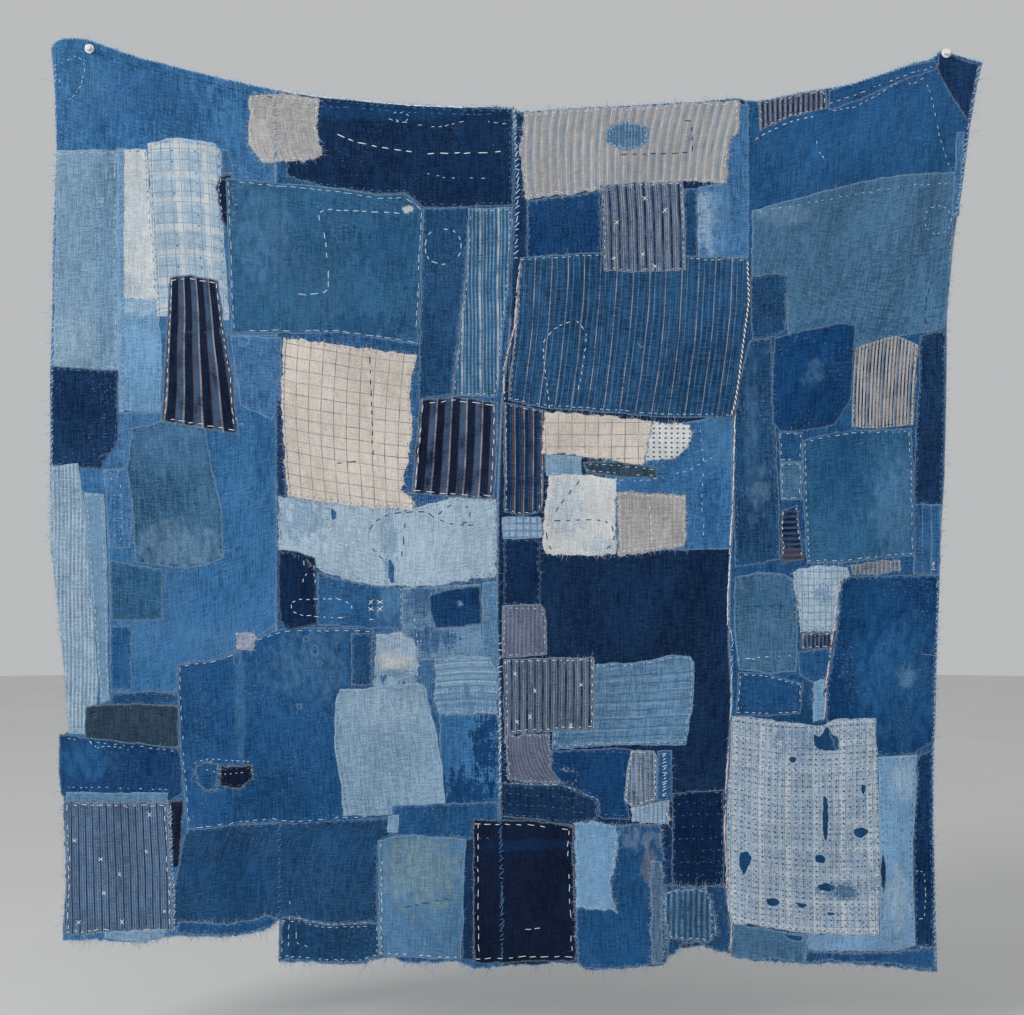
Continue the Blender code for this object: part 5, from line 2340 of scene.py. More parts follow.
CENTRE_LEFT_PATCHES = (
    Patch("navy_top", Cotton(Dye.MIDNIGHT, Dye.STEEL, 0.15, specks=0.2, spots=(
        Spot(480, 170, 34, 26, Dye.NAVY, 0.5, 1.0), Spot(380, 112, 90, 8, Dye.MID, 0.4, 1.2),
    )), ring(
        286, 94, 318, 97, 373, 101, 461, 107, 513, 108, 513, 205, 424, 208, 405, 193, 380, 194,
        323, 186, 286, 176,
    ), (0, 4, 5, 10), sewing=(Sewing(BLUE, 3.0, 3.0, 4.0),)),
    Patch("coarse_grey", Cotton(Dye.OAT, Dye.MILK, 0.2, slub=0.9, specks=0.2, rub=0.2),
          ring(
        249, 95, 285, 93, 320, 99, 317, 130, 322, 155, 305, 160, 262, 162, 247, 143,
    ), (0, 2, 4, 6), rim=RAW, sewing=(Sewing(WHITE, 2.6, 2.6, 3.4),)),
    Patch("indigo_field", Cotton(Dye.INK, Dye.STEEL, 0.3, specks=0.3),
          ring(423, 208, 470, 207, 466, 265, 452, 395, 418, 400, 419, 345), (0, 1, 3, 4)),
    Patch("teal_indigo", Cotton(Dye.TEAL_BLUE, Dye.STEEL, 0.3, specks=0.4, spots=(
        Spot(262, 236, 24, 48, Dye.STEEL, 0.6, 1.4), Spot(390, 250, 30, 40, Dye.INK, 0.4, 1.0),
        Spot(408, 209, 5, 3.4, Dye.MILK, 0.9, 0.8), Spot(310, 290, 50, 30, Dye.GREY_BLUE, 0.4, 1.4),
        Spot(370, 325, 40, 12, Dye.INK, 0.5, 0.8),
    )), ring(
        226, 178, 323, 186, 380, 194, 405, 193, 424, 210, 421, 280, 418, 345, 340, 333, 231, 333,
        228, 250,
    ), (0, 4, 6, 8), sewing=(Sewing(PALE, 2.6, 7.5, 2.6),)),
    Patch("fine_stripe", FINE_STRIPE, ring(
        468, 208, 513, 207, 511, 260, 505, 320, 497, 397, 452, 395, 460, 330, 466, 265,
    ), (0, 1, 4, 5), sewing=PALE_ROUND),
    Patch("pale_blue_field", Cotton(Dye.ICE, Dye.MILK, 0.1, specks=0.2, spots=(
        Spot(300, 520, 26, 20, Dye.STEEL, 0.35, 1.0), Spot(440, 560, 50, 14, Dye.ICE, 0.4, 1.0),
        Spot(390, 545, 8, 30, Dye.STEEL, 0.4, 1.0),
    )), ring(
        278, 496, 340, 503, 413, 508, 455, 497, 496, 499, 497, 540, 495, 577, 467, 580, 444, 584.6,
        411, 588, 401, 585, 389, 587, 379, 587, 351, 581, 318, 571, 303, 556, 278, 551,
    ), (0, 4, 6, 16), rim=RAW, sewing=(Sewing(BLUE, 2.4, 2.8, 3.4),), holes=(
        ring(389, 557, 394, 566, 394, 584, 390, 582, 388, 570),
        ring(331, 508, 336, 511, 335, 520, 331, 519),
    )),
    Patch("cream_check", CREAM_CHECK, ring(
        283, 337, 340, 345, 417, 355, 410, 385, 412, 435, 402, 490, 416, 502, 413, 510, 340, 505,
        287, 495, 281, 400,
    ), (0, 2, 7, 9), rim=RAW, sewing=(Sewing(BLUE, 2.6, 2.2, 4.6),)),
    Patch("dark_stripe_mid", DARK_STRIPE, ring(
        419, 400, 455, 396, 498, 402, 497, 450, 494, 500, 455, 497, 411, 494, 415, 450,
    ), (0, 2, 4, 6), sewing=(Sewing(WHITE, 3.6, 7.5, 3.4),)),
    Patch("teal_mid", Cotton(Dye.MID, Dye.STEEL, 0.5, specks=0.4, spots=(
        Spot(392, 602, 14, 22, Dye.STEEL, 0.85, 0.8), Spot(340, 606, 12, 9, Dye.WASHED, 0.6, 0.8),
    )), ring(
        317, 572, 351, 581, 369, 584, 389, 587, 401, 588, 401, 628, 373, 629, 317, 625,
    ), (0, 4, 5, 7)),
    Patch("navy_tab", MIDNIGHT, ring(
        278, 550, 292, 550, 303, 553, 315, 558, 316, 590, 317, 624, 303, 627, 288, 631, 280, 621,
        278, 588,
    ), (0, 3, 5, 8), sewing=NAVY_ROUND),
    Patch("worn_field", Cotton(Dye.STEEL, Dye.ICE, 0.5, specks=0.8, spots=(
        Spot(430, 640, 26, 10, Dye.MID, 0.6, 1.2), Spot(420, 600, 14, 14, Dye.MID, 0.5, 1.2),
    )), ring(402, 588, 481, 584, 481, 660, 402, 660), rows=(Rows(BLUE, 15.0),)),
    Patch("right_strip", Cotton(Dye.STEEL, Dye.ICE, 0.3, specks=0.5),
          ring(482, 583, 497, 581, 499, 700, 482, 700)),
    Patch("dark_patch_mid", DEEP, ring(
        428, 596, 446, 590, 480, 586, 482, 624, 459, 627, 436, 629, 431, 618,
    ), (0, 2, 3, 5), sewing=NAVY_ROUND,
          holes=(ring(458, 602, 462, 602, 462, 606, 458, 606),)),
    Patch("cream_bit", Cotton(Dye.CLOUD, Dye.MILK, 0.3, specks=0.3, spots=(
        Spot(394, 660, 20, 9, Dye.CREAM, 0.45, 0.8), Spot(394, 675, 24, 5, Dye.STEEL, 0.5, 0.9),
    )), ring(376, 634, 400, 632, 414, 640, 418, 654, 417, 676, 374, 676), (0, 2, 4, 5), rim=RAW,
          sewing=NO_SEWING),
    Patch("streak_patch", Cotton(Dye.HAZE, Dye.ICE, 0.2, bands=(
        Band(7.0, 2.2, Dye.STEEL, 1.0, L, 0.6, 1.2), Band(11.0, 1.6, Dye.MILK, 4.0, L, 0.4, 1.0),
    ), spots=(Spot(466, 700, 40, 12, Dye.STEEL, 0.5, 1.0),)), ring(434, 659, 460, 656, 490, 657, 497,
        674, 497, 714, 439, 714, 433, 700, 436, 675),
          (0, 2, 4, 5), rim=RAW),
    Patch("blue_below", Cotton(Dye.WASHED, Dye.SKY, 0.3, specks=0.4, spots=(
        Spot(488, 745, 15, 40, Dye.DEEP, 0.85, 1.3), Spot(464, 796, 36, 22, Dye.DEEP, 0.85, 1.0),
    )), ring(439, 714, 498, 714, 499, 800, 441, 806)),
    Patch("pale_patch", Cotton(Dye.HAZE, Dye.MILK, 0.25, specks=0.2, spots=(
        Spot(385, 710, 40, 20, Dye.ICE, 0.35, 1.0),
    )), ring(
        340, 689, 363, 689, 386, 685, 419, 683, 426, 689, 431, 714, 436, 729, 442, 765, 445, 807,
        427, 810, 399, 814, 369, 816, 343, 816, 341, 786, 337, 765, 334, 740, 334, 720, 335, 701,
    ), (0, 4, 8, 12), sewing=(Sewing(DARK, 3.0, 1.8, 4.4, "L"), Sewing(BLUE, 3.0, 2.0, 4.4, "TRB"))),
    Patch("lower_mid_field", MID, ring(392, 806, 498, 802, 499, 838, 466, 839, 392, 836), (0, 1, 2, 4)),
    Patch("small_pale_tab", HAZE, ring(388, 816, 399, 815, 398, 833, 387, 833)),
    Patch("dark_foot_strip", NAVY, ring(463, 840, 475, 838, 474, 962, 462, 960), sewing=NO_SEWING),
    Patch("grey_green_patch", Cotton(Dye.STEEL, Dye.HAZE, 0.25, specks=0.4, spots=(
        Spot(420, 870, 40, 38, Dye.SAGE, 0.75, 1.2),
    )), ring(
        378, 841, 389, 837, 411, 835, 436, 837, 466, 839, 465, 860, 464, 886, 464, 919, 461, 960,
        430, 959, 379, 956, 378, 900,
    ), (0, 4, 8, 10), sewing=(Sewing(WHITE, 3.0, 4.0, 4.0, "LB"), Sewing(BLUE, 3.0, 3.0, 3.4, "TR"))),
    Patch("dark_navy_lower", Cotton(Dye.BLACK_NAVY, Dye.STEEL, 0.05, specks=0.0, slub=0.7,
                                    spots=(Spot(525, 845, 44, 6, Dye.NAVY, 0.7, 0.8),)), ring(
        473, 819, 510, 820, 535, 820.5, 575, 827, 573, 835, 574, 878, 576, 919, 577, 955, 575, 962,
        540, 962, 510, 963, 475, 964, 474, 957, 473, 894,
    ), (0, 3, 8, 11), sewing=(Sewing(WHITE, 5.0, 7.0, 4.0),)),
)

CENTRE_RIGHT_PATCHES = (
    Patch("dark_side_strip", NAVY, ring(516, 112, 527, 112, 527, 400, 508, 400), sewing=NO_SEWING),
    Patch("light_blue_right", Cotton(Dye.WASHED, Dye.ICE, 0.25, specks=0.5, spots=(
        Spot(705, 220, 10, 32, Dye.ICE, 0.7, 1.0), Spot(716, 218, 12, 40, Dye.SKY, 0.4, 1.0),
    )), ring(726, 104, 749, 104, 749, 257, 698, 257, 697, 186, 726, 183)),
    Patch("mid_strip", INK, ring(684, 188, 698, 188, 698, 257, 684, 257)),
    Patch("deep_blue_rectangle", DEEP, ring(527, 200, 562, 196, 600, 191, 602, 256, 560, 256, 527, 258),
          (0, 2, 3, 5)),
    Patch("tan_stripe_top", TAN_STRIPE, ring(
        524, 112, 576, 108, 626, 106, 701, 102, 740, 100, 738, 133, 729, 140, 726, 183, 683, 181,
        600, 190, 525, 199, 520, 150,
    ), (0, 4, 7, 10), rim=RAW, sewing=(Sewing(WHITE, 2.6, 2.6, 3.6),)),
    Patch("oval_darn", Cotton(Dye.GREY_BLUE, Dye.CLOUD, 0.3, bands=(
        Band(2.6, 0.9, Dye.CLOUD, strength=0.5), Band(4.4, 1.2, Dye.SLATE, 1.7, strength=0.5),
    )), ring(
        606, 131, 614, 124, 628, 121, 642, 124, 650, 130, 649, 141, 640, 148, 628, 150, 614, 147,
        606, 141,
    ), (1, 3, 6, 8), rim=RAW, sewing=(Sewing(PALE, 2.4, 2.4, 2.2),)),
    Patch("mid_blue_right", Cotton(Dye.WASHED, Dye.SKY, 0.3, specks=0.4, spots=(
        Spot(715, 440, 12, 30, Dye.STEEL, 0.4, 1.2), Spot(712, 510, 14, 40, Dye.MID, 0.4, 1.2),
    )), ring(600, 440, 733, 412, 732, 549, 617, 552)),
    Patch("navy_strip_left", MIDNIGHT, ring(504, 538, 540, 538, 541, 606, 503, 606)),
    Patch("brown_stripes", BROWN_STRIPE, ring(
        503, 402, 524, 406, 547, 410, 545, 460, 543, 505, 538, 513, 520, 516, 504, 512,
    ), (0, 2, 5, 7), sewing=PALE_ROUND),
    Patch("plaid_strip", Cotton(Dye.CLOUD, Dye.MILK, specks=0.2, bands=(
        Band(7.0, 2.2, Dye.STEEL, strength=0.6), Band(7.0, 2.2, Dye.STEEL, 0.0, L, 0.6),
    )), ring(502, 517, 541, 517, 543, 538, 503, 539), sewing=(Sewing(BLUE, 2.0, 2.4, 2.6),)),
    Patch("light_piece", HAZE, ring(545, 455, 583, 456, 583, 476, 546, 476), sewing=PALE_ROUND),
    Patch("slate_strip", Cotton(Dye.OLIVE, Dye.HAZE, 0.15),
          ring(583, 462, 620, 461, 657, 468, 657, 478, 620, 477, 586, 472), (0, 2, 3, 5),
          sewing=PALE_ROUND),
    Patch("large_stripe", LARGE_STRIPE, ring(
        520, 257, 590, 252, 700, 256, 748, 258, 749, 300, 744, 340, 735, 405, 731, 418, 665, 418,
        600, 412, 545, 408, 508, 400, 512, 355, 517, 310,
    ), (0, 3, 7, 11), sewing=(Sewing(PALE, 2.8, 3.6, 3.4, "TB"), Sewing(TAN, 2.0, 4.0, 2.0, "L"))),
    Patch("fine_stripe_mid", NAVY_STRIPE, ring(
        600, 185, 640, 182, 683, 181, 686, 225, 686, 270, 640, 272, 604, 271, 602, 230,
    ), (0, 2, 4, 6), sewing=PALE_ROUND),
    Patch("dotted_patch", Cotton(Dye.MILK, Dye.MILK, slub=0.5, specks=0.0, rub=0.1, dots=(
        Dots(5.6, 5.6, 1.15, Dye.NAVY, 0.9),
    )), ring(653, 421, 690, 425, 692, 440, 686, 450, 675, 458, 646, 461), (0, 1, 4, 5), rim=RAW,
          sewing=(Sewing(WHITE, 2.4, 3.0, 2.6),)),
    Patch("cream_check_strip", CREAM_CHECK, ring(
        545, 411, 600, 415, 652, 421, 648, 445, 643, 465, 610, 460, 575, 455, 541, 453, 543, 432,
    ), (0, 2, 4, 7), rim=RAW, sewing=(Sewing(WHITE, 2.6, 3.0, 3.0),)),
    Patch("pale_square", Cotton(Dye.MILK, Dye.MILK, slub=0.7, specks=0.1, rub=0.1, spots=(
        Spot(566, 505, 16, 26, Dye.ICE, 0.5, 1.0), Spot(600, 545, 18, 8, Dye.ICE, 0.4, 1.0),
    )), ring(
        549, 475, 580, 474, 617, 478, 616, 520, 616, 554, 593, 556, 568, 556, 550, 555, 544, 550,
        543, 520,
    ), (0, 2, 4, 8), rim=RAW, sewing=(Sewing(WHITE, 2.6, 3.2, 3.0),)),
    Patch("tan_grey", Cotton(Dye.OAT, Dye.MILK, 0.2, slub=0.9, specks=0.1, rub=0.15, bands=(
        Band(5.0, 0.9, Dye.BROWN, strength=0.25), Band(5.0, 0.9, Dye.BROWN, 0.0, L, 0.2),
    )), ring(
        618, 492, 650, 493, 686, 495, 686, 520, 685, 546, 676, 548, 656, 550, 642, 554, 618, 556,
    ), (0, 2, 4, 8), rim=RAW, sewing=(Sewing(WHITE, 2.4, 2.6, 3.0),)),
    Patch("mauve_patch", MAUVE, ring(
        502, 606, 516, 605, 543, 604.5, 545.7, 611, 547, 640, 547, 655, 530, 657, 502, 658,
    ), (0, 3, 5, 7), sewing=(Sewing(PALE, 2.4, 2.8, 3.0),)),
    Patch("slub_blue", Cotton(Dye.STEEL, Dye.ICE, 0.35, slub=1.2, specks=0.3, bands=(
        Band(9.0, 1.6, Dye.INK, 2.0, L, 0.35), Band(13.0, 2.0, Dye.CLOUD, 6.0, L, 0.35),
    )), ring(
        555, 665, 597, 664, 626, 663, 654, 660, 669, 655, 690, 656, 695, 663, 694, 700, 690, 720,
        686, 745, 650, 745.5, 610, 746, 552, 750, 553, 700,
    ), (0, 5, 9, 12), sewing=PALE_ROUND),
    Patch("stripe_block", BLOCK_STRIPE, ring(
        503, 659, 550, 658, 593, 657, 595, 660, 595, 729, 560, 731, 530, 733, 504, 735,
    ), (0, 2, 4, 7), sewing=(Sewing(WHITE, 3.0, 3.4, 3.6),)),
    Patch("mauve_lower", MAUVE, ring(505, 735, 550, 734, 551, 771, 576, 772, 575, 783, 540, 784, 507, 780),
          (0, 1, 4, 6), rim=RAW, sewing=(Sewing(PALE, 2.2, 2.4, 3.0),)),
    Patch("dark_teal_lower", Cotton(Dye.DEEP, Dye.GREY_BLUE, 0.2, specks=0.2), ring(
        551, 751, 620, 748, 632, 750, 626, 800, 630, 820, 599, 819, 598, 800, 585, 795, 573, 789,
        561, 785, 551, 770,
    ), (0, 2, 4, 10)),
    Patch("dashed_block", Cotton(Dye.MIDNIGHT, Dye.STEEL, 0.2, specks=0.3), ring(
        500, 783, 540, 785, 561, 785, 573, 789, 585, 795, 598, 800, 598, 819, 575, 827, 535, 820,
        500, 817,
    ), (0, 5, 6, 9), rows=(Rows(BLUE, 8.0),)),
    Patch("worn_blue_lower", Cotton(Dye.MID, Dye.STEEL, 0.15, specks=0.4, spots=(
        Spot(640, 838, 24, 10, Dye.CLOUD, 0.35, 1.8), Spot(650, 868, 8, 22, Dye.TAN, 0.3, 1.2),
    )), ring(575, 826, 661, 824, 667, 964, 626, 967, 585, 969, 577, 962), (0, 1, 2, 5), rim=RAW),
    Patch("light_blue_lower", Cotton(Dye.SKY, Dye.ICE, 0.2, slub=0.6, specks=0.1), ring(
        574, 823, 593, 821, 616, 826, 618, 845, 614, 871, 610, 886, 618, 914, 610, 910, 576, 908,
        575, 838,
    ), (0, 2, 6, 8), rim=RAW, sewing=PALE_ROUND),
    Patch("tan_streak", Cotton(Dye.GREY_BLUE, Dye.TAN, 0.4, specks=0.5),
          ring(650, 862, 662, 862, 663, 964, 652, 964), rim=RAW, sewing=NO_SEWING),
    Patch("stripe_white", Cotton(Dye.SLATE, Dye.MILK, 0.4, bands=(
        Band(4.6, 1.7, Dye.CLOUD, strength=0.7), Band(9.2, 1.0, Dye.TAN, 2.0, strength=0.5),
    )), ring(632, 750, 654, 751, 657, 757, 657, 800, 640, 806, 634, 810, 624, 801, 628, 762),
          (0, 1, 3, 6), sewing=(Sewing(WHITE, 2.0, 3.2, 2.0),)),
    Patch("white_overcast_strip", MID, ring(657, 751, 672, 750, 672, 802, 657, 802)),
    Patch("ticking", Cotton(Dye.CLOUD, Dye.MILK, 0.3, bands=(
        Band(5.0, 1.7, Dye.STEEL, strength=0.7),
    )), ring(631, 808, 669, 800, 669, 824, 632, 822), rim=RAW, sewing=PALE_ROUND),
    Patch("dark_blue_rectangle", Cotton(Dye.MIDNIGHT, Dye.GREY_BLUE, 0.05, specks=0.2),
          ring(672, 793, 724, 790, 725, 840, 724, 888, 700, 889, 672, 890), (0, 1, 3, 5),
          rows=(Rows(BLUE, 12.0),)),
    Patch("bottom_strip", Cotton(Dye.INK, Dye.STEEL, 0.3, specks=0.4), ring(
        664, 885, 726, 886, 731, 925, 730, 951, 719, 953, 709, 948, 701, 943, 686, 943, 678, 948,
        676, 955, 668, 957, 667, 940,
    ), (0, 1, 3, 10), rim=RAW),
    Patch("grey_tuft_patch", Cotton(Dye.TEAL_BLUE, Dye.CLOUD, 0.2, bands=(
        Band(5.0, 1.8, Dye.CLOUD, strength=0.35), Band(5.0, 1.4, Dye.NAVY, 2.5, strength=0.5),
    )), ring(
        671, 891, 690, 889, 707, 887.6, 711, 894, 714, 912, 717, 932, 709, 943, 692, 941, 671, 939,
        663, 915, 663, 894,
    ), (0, 2, 6, 8), rim=RAW, sewing=PALE_ROUND),
)

RIGHT_PATCHES = (
    Patch("brown_grey_stripe", Cotton(Dye.SLATE, Dye.TAN, specks=0.1, bands=(
        Band(5.2, 1.8, Dye.BLACK_NAVY), Band(5.2, 1.0, Dye.TAN, 2.6, strength=0.6),
        Band(9.0, 1.0, Dye.BROWN, 0.0, L, 0.6),
    )), ring(758, 101, 783, 96, 808, 91, 826, 89, 828, 108, 810, 112, 790, 117, 775, 124, 760, 131),
          (0, 3, 4, 8), sewing=PALE_ROUND),
    Patch("teal_hem_strip", MID, ring(
        829, 90, 870, 77, 916, 63, 936, 59, 938, 68, 900, 82, 860, 100, 829, 110,
    ), (0, 3, 4, 7), sewing=(Sewing(PINK, 5.0, 4.0, 3.0, "B"),)),
    Patch("navy_corner", Cotton(Dye.NAVY, Dye.STEEL, 0.15, specks=0.1), ring(
        940, 52, 953, 54, 966, 58.5, 981, 63, 977, 80, 969, 122, 952, 96, 938, 68,
    ), (0, 3, 5, 7), sewing=NAVY_ROUND),
    Patch("worn_strip_long", Cotton(Dye.INK, Dye.STEEL, 0.35, specks=0.6, spots=(
        Spot(752, 440, 6, 70, Dye.STEEL, 0.4, 1.6), Spot(762, 490, 7, 20, Dye.HAZE, 0.3, 1.4),
    )), ring(750, 340, 772, 338, 776, 430, 780, 505, 781, 560, 735, 568, 733, 430, 738, 385),
          (0, 1, 4, 5)),
    Patch("grey_blue_large", Cotton(Dye.GREY_BLUE, Dye.HAZE, 0.3, slub=0.9, specks=0.3, spots=(
        Spot(780, 215, 30, 10, Dye.HAZE, 0.4, 1.0), Spot(925, 300, 20, 30, Dye.STEEL, 0.35, 1.2),
        Spot(850, 330, 60, 12, Dye.TEAL_BLUE, 0.4, 1.0),
    )), ring(
        752, 210, 800, 198, 860, 182, 900, 175, 960, 171, 960, 194, 955, 217, 952, 252, 947, 313,
        945, 328, 920, 334, 880, 338, 856, 350, 788, 334, 786, 275, 752, 277,
    ), (0, 4, 9, 15), sewing=(Sewing(BLUE, 2.6, 3.0, 3.4), Sewing(PALE, 8.0, 2.4, 6.0, "T"))),
    Patch("bright_edge_strip", WASHED, ring(957, 132, 965, 131, 959.5, 216, 952, 216), sewing=NO_SEWING),
    Patch("dark_blue_tab", INK, ring(
        750, 277, 770, 273, 788, 275, 787, 300, 786, 330, 775, 337, 752, 340,
    ), (0, 2, 4, 6)),
    Patch("navy_right_strip", Cotton(Dye.NAVY, Dye.STEEL, 0.2, specks=0.3), ring(
        920, 335, 945, 329, 945.5, 400, 944, 481, 943, 505, 914, 505, 916, 425, 919, 380,
    ), (0, 1, 4, 5)),
    Patch("streaked_strip", Cotton(Dye.MID, Dye.SKY, 0.3, specks=0.5, bands=(
        Band(9.0, 1.4, Dye.HAZE, strength=0.45),
    )), ring(914, 504, 943, 504, 940, 575, 914, 575)),
    Patch("saturated_patch", Cotton(Dye.DEEP, Dye.WASHED, 0.3, specks=0.3, spots=(
        Spot(816, 368, 9, 12, Dye.STEEL, 0.35, 1.2), Spot(812, 380, 12, 6, Dye.STEEL, 0.3, 1.2),
    )), ring(
        775, 337, 800, 331, 840, 322, 856, 325, 854, 360, 852, 400, 835, 425, 810, 430, 780, 432,
        772, 422, 772, 380,
    ), (0, 3, 6, 8), sewing=NAVY_ROUND),
    Patch("thin_stripe", THIN_STRIPE, ring(
        855, 349, 875, 341, 895, 335, 919, 345, 916, 385, 914, 425, 880, 428, 852, 427, 853, 390,
    ), (0, 3, 5, 7), sewing=(Sewing(DARK, 2.4, 2.4, 3.0),)),
    Patch("upper_tab", MID, ring(778, 432, 803, 432, 803, 462, 780, 462), sewing=PALE_ROUND),
    Patch("lower_tab", Cotton(Dye.GREY_BLUE, Dye.HAZE, 0.3),
          ring(780, 462, 803, 462, 803, 500, 781, 500), sewing=PALE_ROUND),
    Patch("teal_blue_patch", Cotton(Dye.TEAL_BLUE, Dye.STEEL, 0.2, specks=0.3, spots=(
        Spot(896, 505, 24, 50, Dye.STEEL, 0.75, 1.0), Spot(840, 470, 34, 40, Dye.MID, 0.5, 1.0),
    )), ring(
        803, 440, 825, 434, 850, 430, 880, 429, 912, 428, 914, 480, 915, 530, 916, 556, 883, 558,
        843, 563, 807, 564, 804, 505,
    ), (0, 4, 7, 10), sewing=(Sewing(PALE, 2.8, 4.0, 3.4),)),
    Patch("slate_bars", Cotton(Dye.INK, Dye.TAN, specks=0.0, bands=(
        Band(5.6, 3.0, Dye.BLACK_NAVY, 0.0, L, 0.85),
    ), spots=(Spot(792, 555, 14, 9, Dye.BROWN, 0.5, 0.8),)), ring(
        781.5, 510, 798, 505, 800, 530, 804, 560, 792, 562, 781, 564,
    ), (0, 1, 3, 5), sewing=(Sewing(WHITE, 2.0, 3.0, 3.0, "LR"),)),
    Patch("tan_thin_strip", Cotton(Dye.SLATE, Dye.OAT, 0.5, bands=(
        Band(4.6, 1.8, Dye.OAT, strength=0.7),
    )), ring(850, 565, 883, 561, 901, 560, 902, 570, 874, 575, 853, 574), (0, 2, 3, 5), rim=RAW,
          sewing=NO_SEWING),
    Patch("grey_teal", Cotton(Dye.GREY_BLUE, Dye.HAZE, 0.25, specks=0.2, spots=(
        Spot(765, 600, 24, 14, Dye.TEAL_BLUE, 0.4, 1.0),
    )), ring(735, 577, 760, 572, 785, 574, 797, 580, 798, 632, 797, 672, 770, 674, 739, 670, 734, 630),
          (0, 3, 5, 7), sewing=NAVY_ROUND),
    Patch("blue_right_large", Cotton(Dye.DEEP, Dye.WASHED, 0.4, specks=0.5, spots=(
        Spot(907, 675, 9, 11, Dye.HAZE, 0.65, 1.0), Spot(870, 600, 30, 20, Dye.MID, 0.5, 1.0),
        Spot(900, 680, 40, 60, Dye.WASHED, 0.45, 1.2), Spot(850, 745, 24, 10, Dye.STEEL, 0.4, 1.4),
    )), ring(
        841, 578, 883, 575.5, 940, 575.5, 938, 610, 937, 640, 935, 690, 935, 737, 932, 744, 916, 753,
        887, 757, 877, 753.7, 835, 750, 826, 719, 828, 679, 834, 648, 838, 621,
    ), (0, 2, 7, 11)),
    Patch("teal_bit", MID, ring(797, 651, 833, 648, 831, 668, 828, 678, 815, 684, 800, 676), (0, 1, 3, 5)),
    Patch("ragged_white", Cotton(Dye.ICE, Dye.MILK, 0.3, specks=0.2, bands=(
        Band(7.0, 1.2, Dye.STEEL, strength=0.5), Band(7.0, 1.2, Dye.STEEL, 3.0, L, 0.4),
    ), spots=(Spot(822, 592, 8, 10, Dye.STEEL, 0.5, 1.2),)), ring(
        793, 573, 808, 567, 816, 566, 846, 566, 850, 577, 840, 580, 839.5, 605, 836, 631, 800, 633,
        798, 605,
    ), (0, 4, 7, 8), rim=RAW, rows=(Rows(BLUE, 9.0),)),
    Patch("dark_tick", Cotton(Dye.SLATE, Dye.TAN, specks=0.0, bands=(
        Band(4.0, 2.3, Dye.BLACK_NAVY, strength=0.9),
    )), ring(801, 633, 834, 631, 834, 648, 820, 649, 802, 650), (0, 1, 2, 4), sewing=PALE_ROUND),
    Patch("pale_blob", SKY, ring(814, 682, 825, 680, 825, 720, 813, 722), rim=RAW, sewing=NO_SEWING),
    Patch("dashed_rectangle", Cotton(Dye.MID, Dye.STEEL, 0.15, specks=0.2), ring(
        738, 672, 770, 674, 804, 684, 801, 714, 770, 716, 736, 716,
    ), (0, 2, 3, 5), sewing=(Sewing(PALE, 2.4, 3.6, 3.0), Sewing(BROWN, 7.0, 3.4, 3.0))),
    Patch("navy_side_strip", Cotton(Dye.NAVY, Dye.WASHED, 0.3, specks=0.3), ring(
        918, 756, 934, 750, 933, 791, 933, 820, 935, 878, 935, 919, 935, 949, 916, 947, 914, 894,
        913, 845, 916, 795,
    ), (0, 1, 6, 7)),
    Patch("pale_side", Cotton(Dye.SKY, Dye.ICE, 0.25, slub=0.7, specks=0.3, spots=(
        Spot(883, 874, 2.6, 17, Dye.MIDNIGHT, 0.95, 0.4), Spot(900, 780, 14, 16, Dye.CLOUD, 0.4, 1.2),
        Spot(898, 900, 12, 30, Dye.ICE, 0.6, 1.2), Spot(904, 775, 10, 22, Dye.ICE, 0.5, 1.2),
    )), ring(878, 757, 918, 755, 916, 795, 913, 845, 914, 894, 916, 946, 899, 951, 880, 951, 879, 935,
        880, 845),
          (0, 1, 5, 7), sewing=(Sewing(DARK, 3.0, 2.2, 4.6),),
          rows=(Rows(BLUE, 8.0, U, 3.0, 8.0),)),
    Patch("light_band_lower", Cotton(Dye.SKY, Dye.ICE, 0.3, specks=0.5), ring(
        807, 934, 850, 936, 880, 935, 914, 946, 899, 951, 838, 952, 809, 951,
    ), (0, 2, 4, 6), rim=RAW),
    Patch("navy_foot_strip", MID, ring(
        807, 951, 850, 953, 899, 952, 935, 947, 937, 970, 916, 969, 891, 964, 866, 963, 833, 961,
        806, 964,
    ), (0, 3, 4, 9), rim=RAW),
    Patch("pale_teal_foot", Cotton(Dye.GREY_BLUE, Dye.HAZE, 0.3, specks=0.4), ring(
        734, 924, 775, 930, 807, 936, 806, 965, 791, 962, 775, 959, 759, 960, 745, 959, 731, 954,
    ), (0, 2, 3, 8), rim=RAW, holes=(ring(784, 934, 803, 937, 801, 942, 790, 940),)),
    Patch("big_plaid", BIG_PLAID, ring(
        732, 716, 750, 717, 800, 724, 823, 726, 833, 719, 876, 718, 877, 755, 878.5, 786, 880, 845,
        879, 935, 850, 936, 808, 934, 775, 929, 750, 924, 734, 924, 729, 911, 727, 860, 727, 800,
        730, 760,
    ), (0, 5, 9, 14), sewing=(Sewing(WHITE, 2.6, 3.0, 3.0),), holes=(
        ring(814, 735, 821, 737, 827, 726, 833, 735, 839, 738, 839, 750, 830, 751, 820, 750, 815, 745),
        ring(824, 795, 828, 798, 829, 820, 827, 842, 824, 840, 823, 815),
        ring(815, 856, 822, 855, 826, 859, 824, 864, 816, 863),
        ring(854, 830, 862, 828, 869, 830, 866, 836, 860, 839, 855, 836),
        ring(861, 785, 866, 785, 865, 794, 862, 795),
        ring(740, 853, 748, 851, 752, 858, 748, 868, 743, 876, 739, 866),
        ring(790, 757, 796, 757, 796, 763, 791, 763),
        ring(766, 899, 774, 898, 781, 902, 775, 907, 767, 905),
        ring(795, 903, 803, 903, 809, 906, 800, 909),
        ring(827, 913, 835, 913, 835, 916, 828, 916),
        ring(818, 886, 826, 883, 836, 887, 832, 892, 820, 891),
    ), step=2.2),
    Patch("grey_mend", Cotton(Dye.GREY_BLUE, Dye.CLOUD, 0.4, specks=0.5),
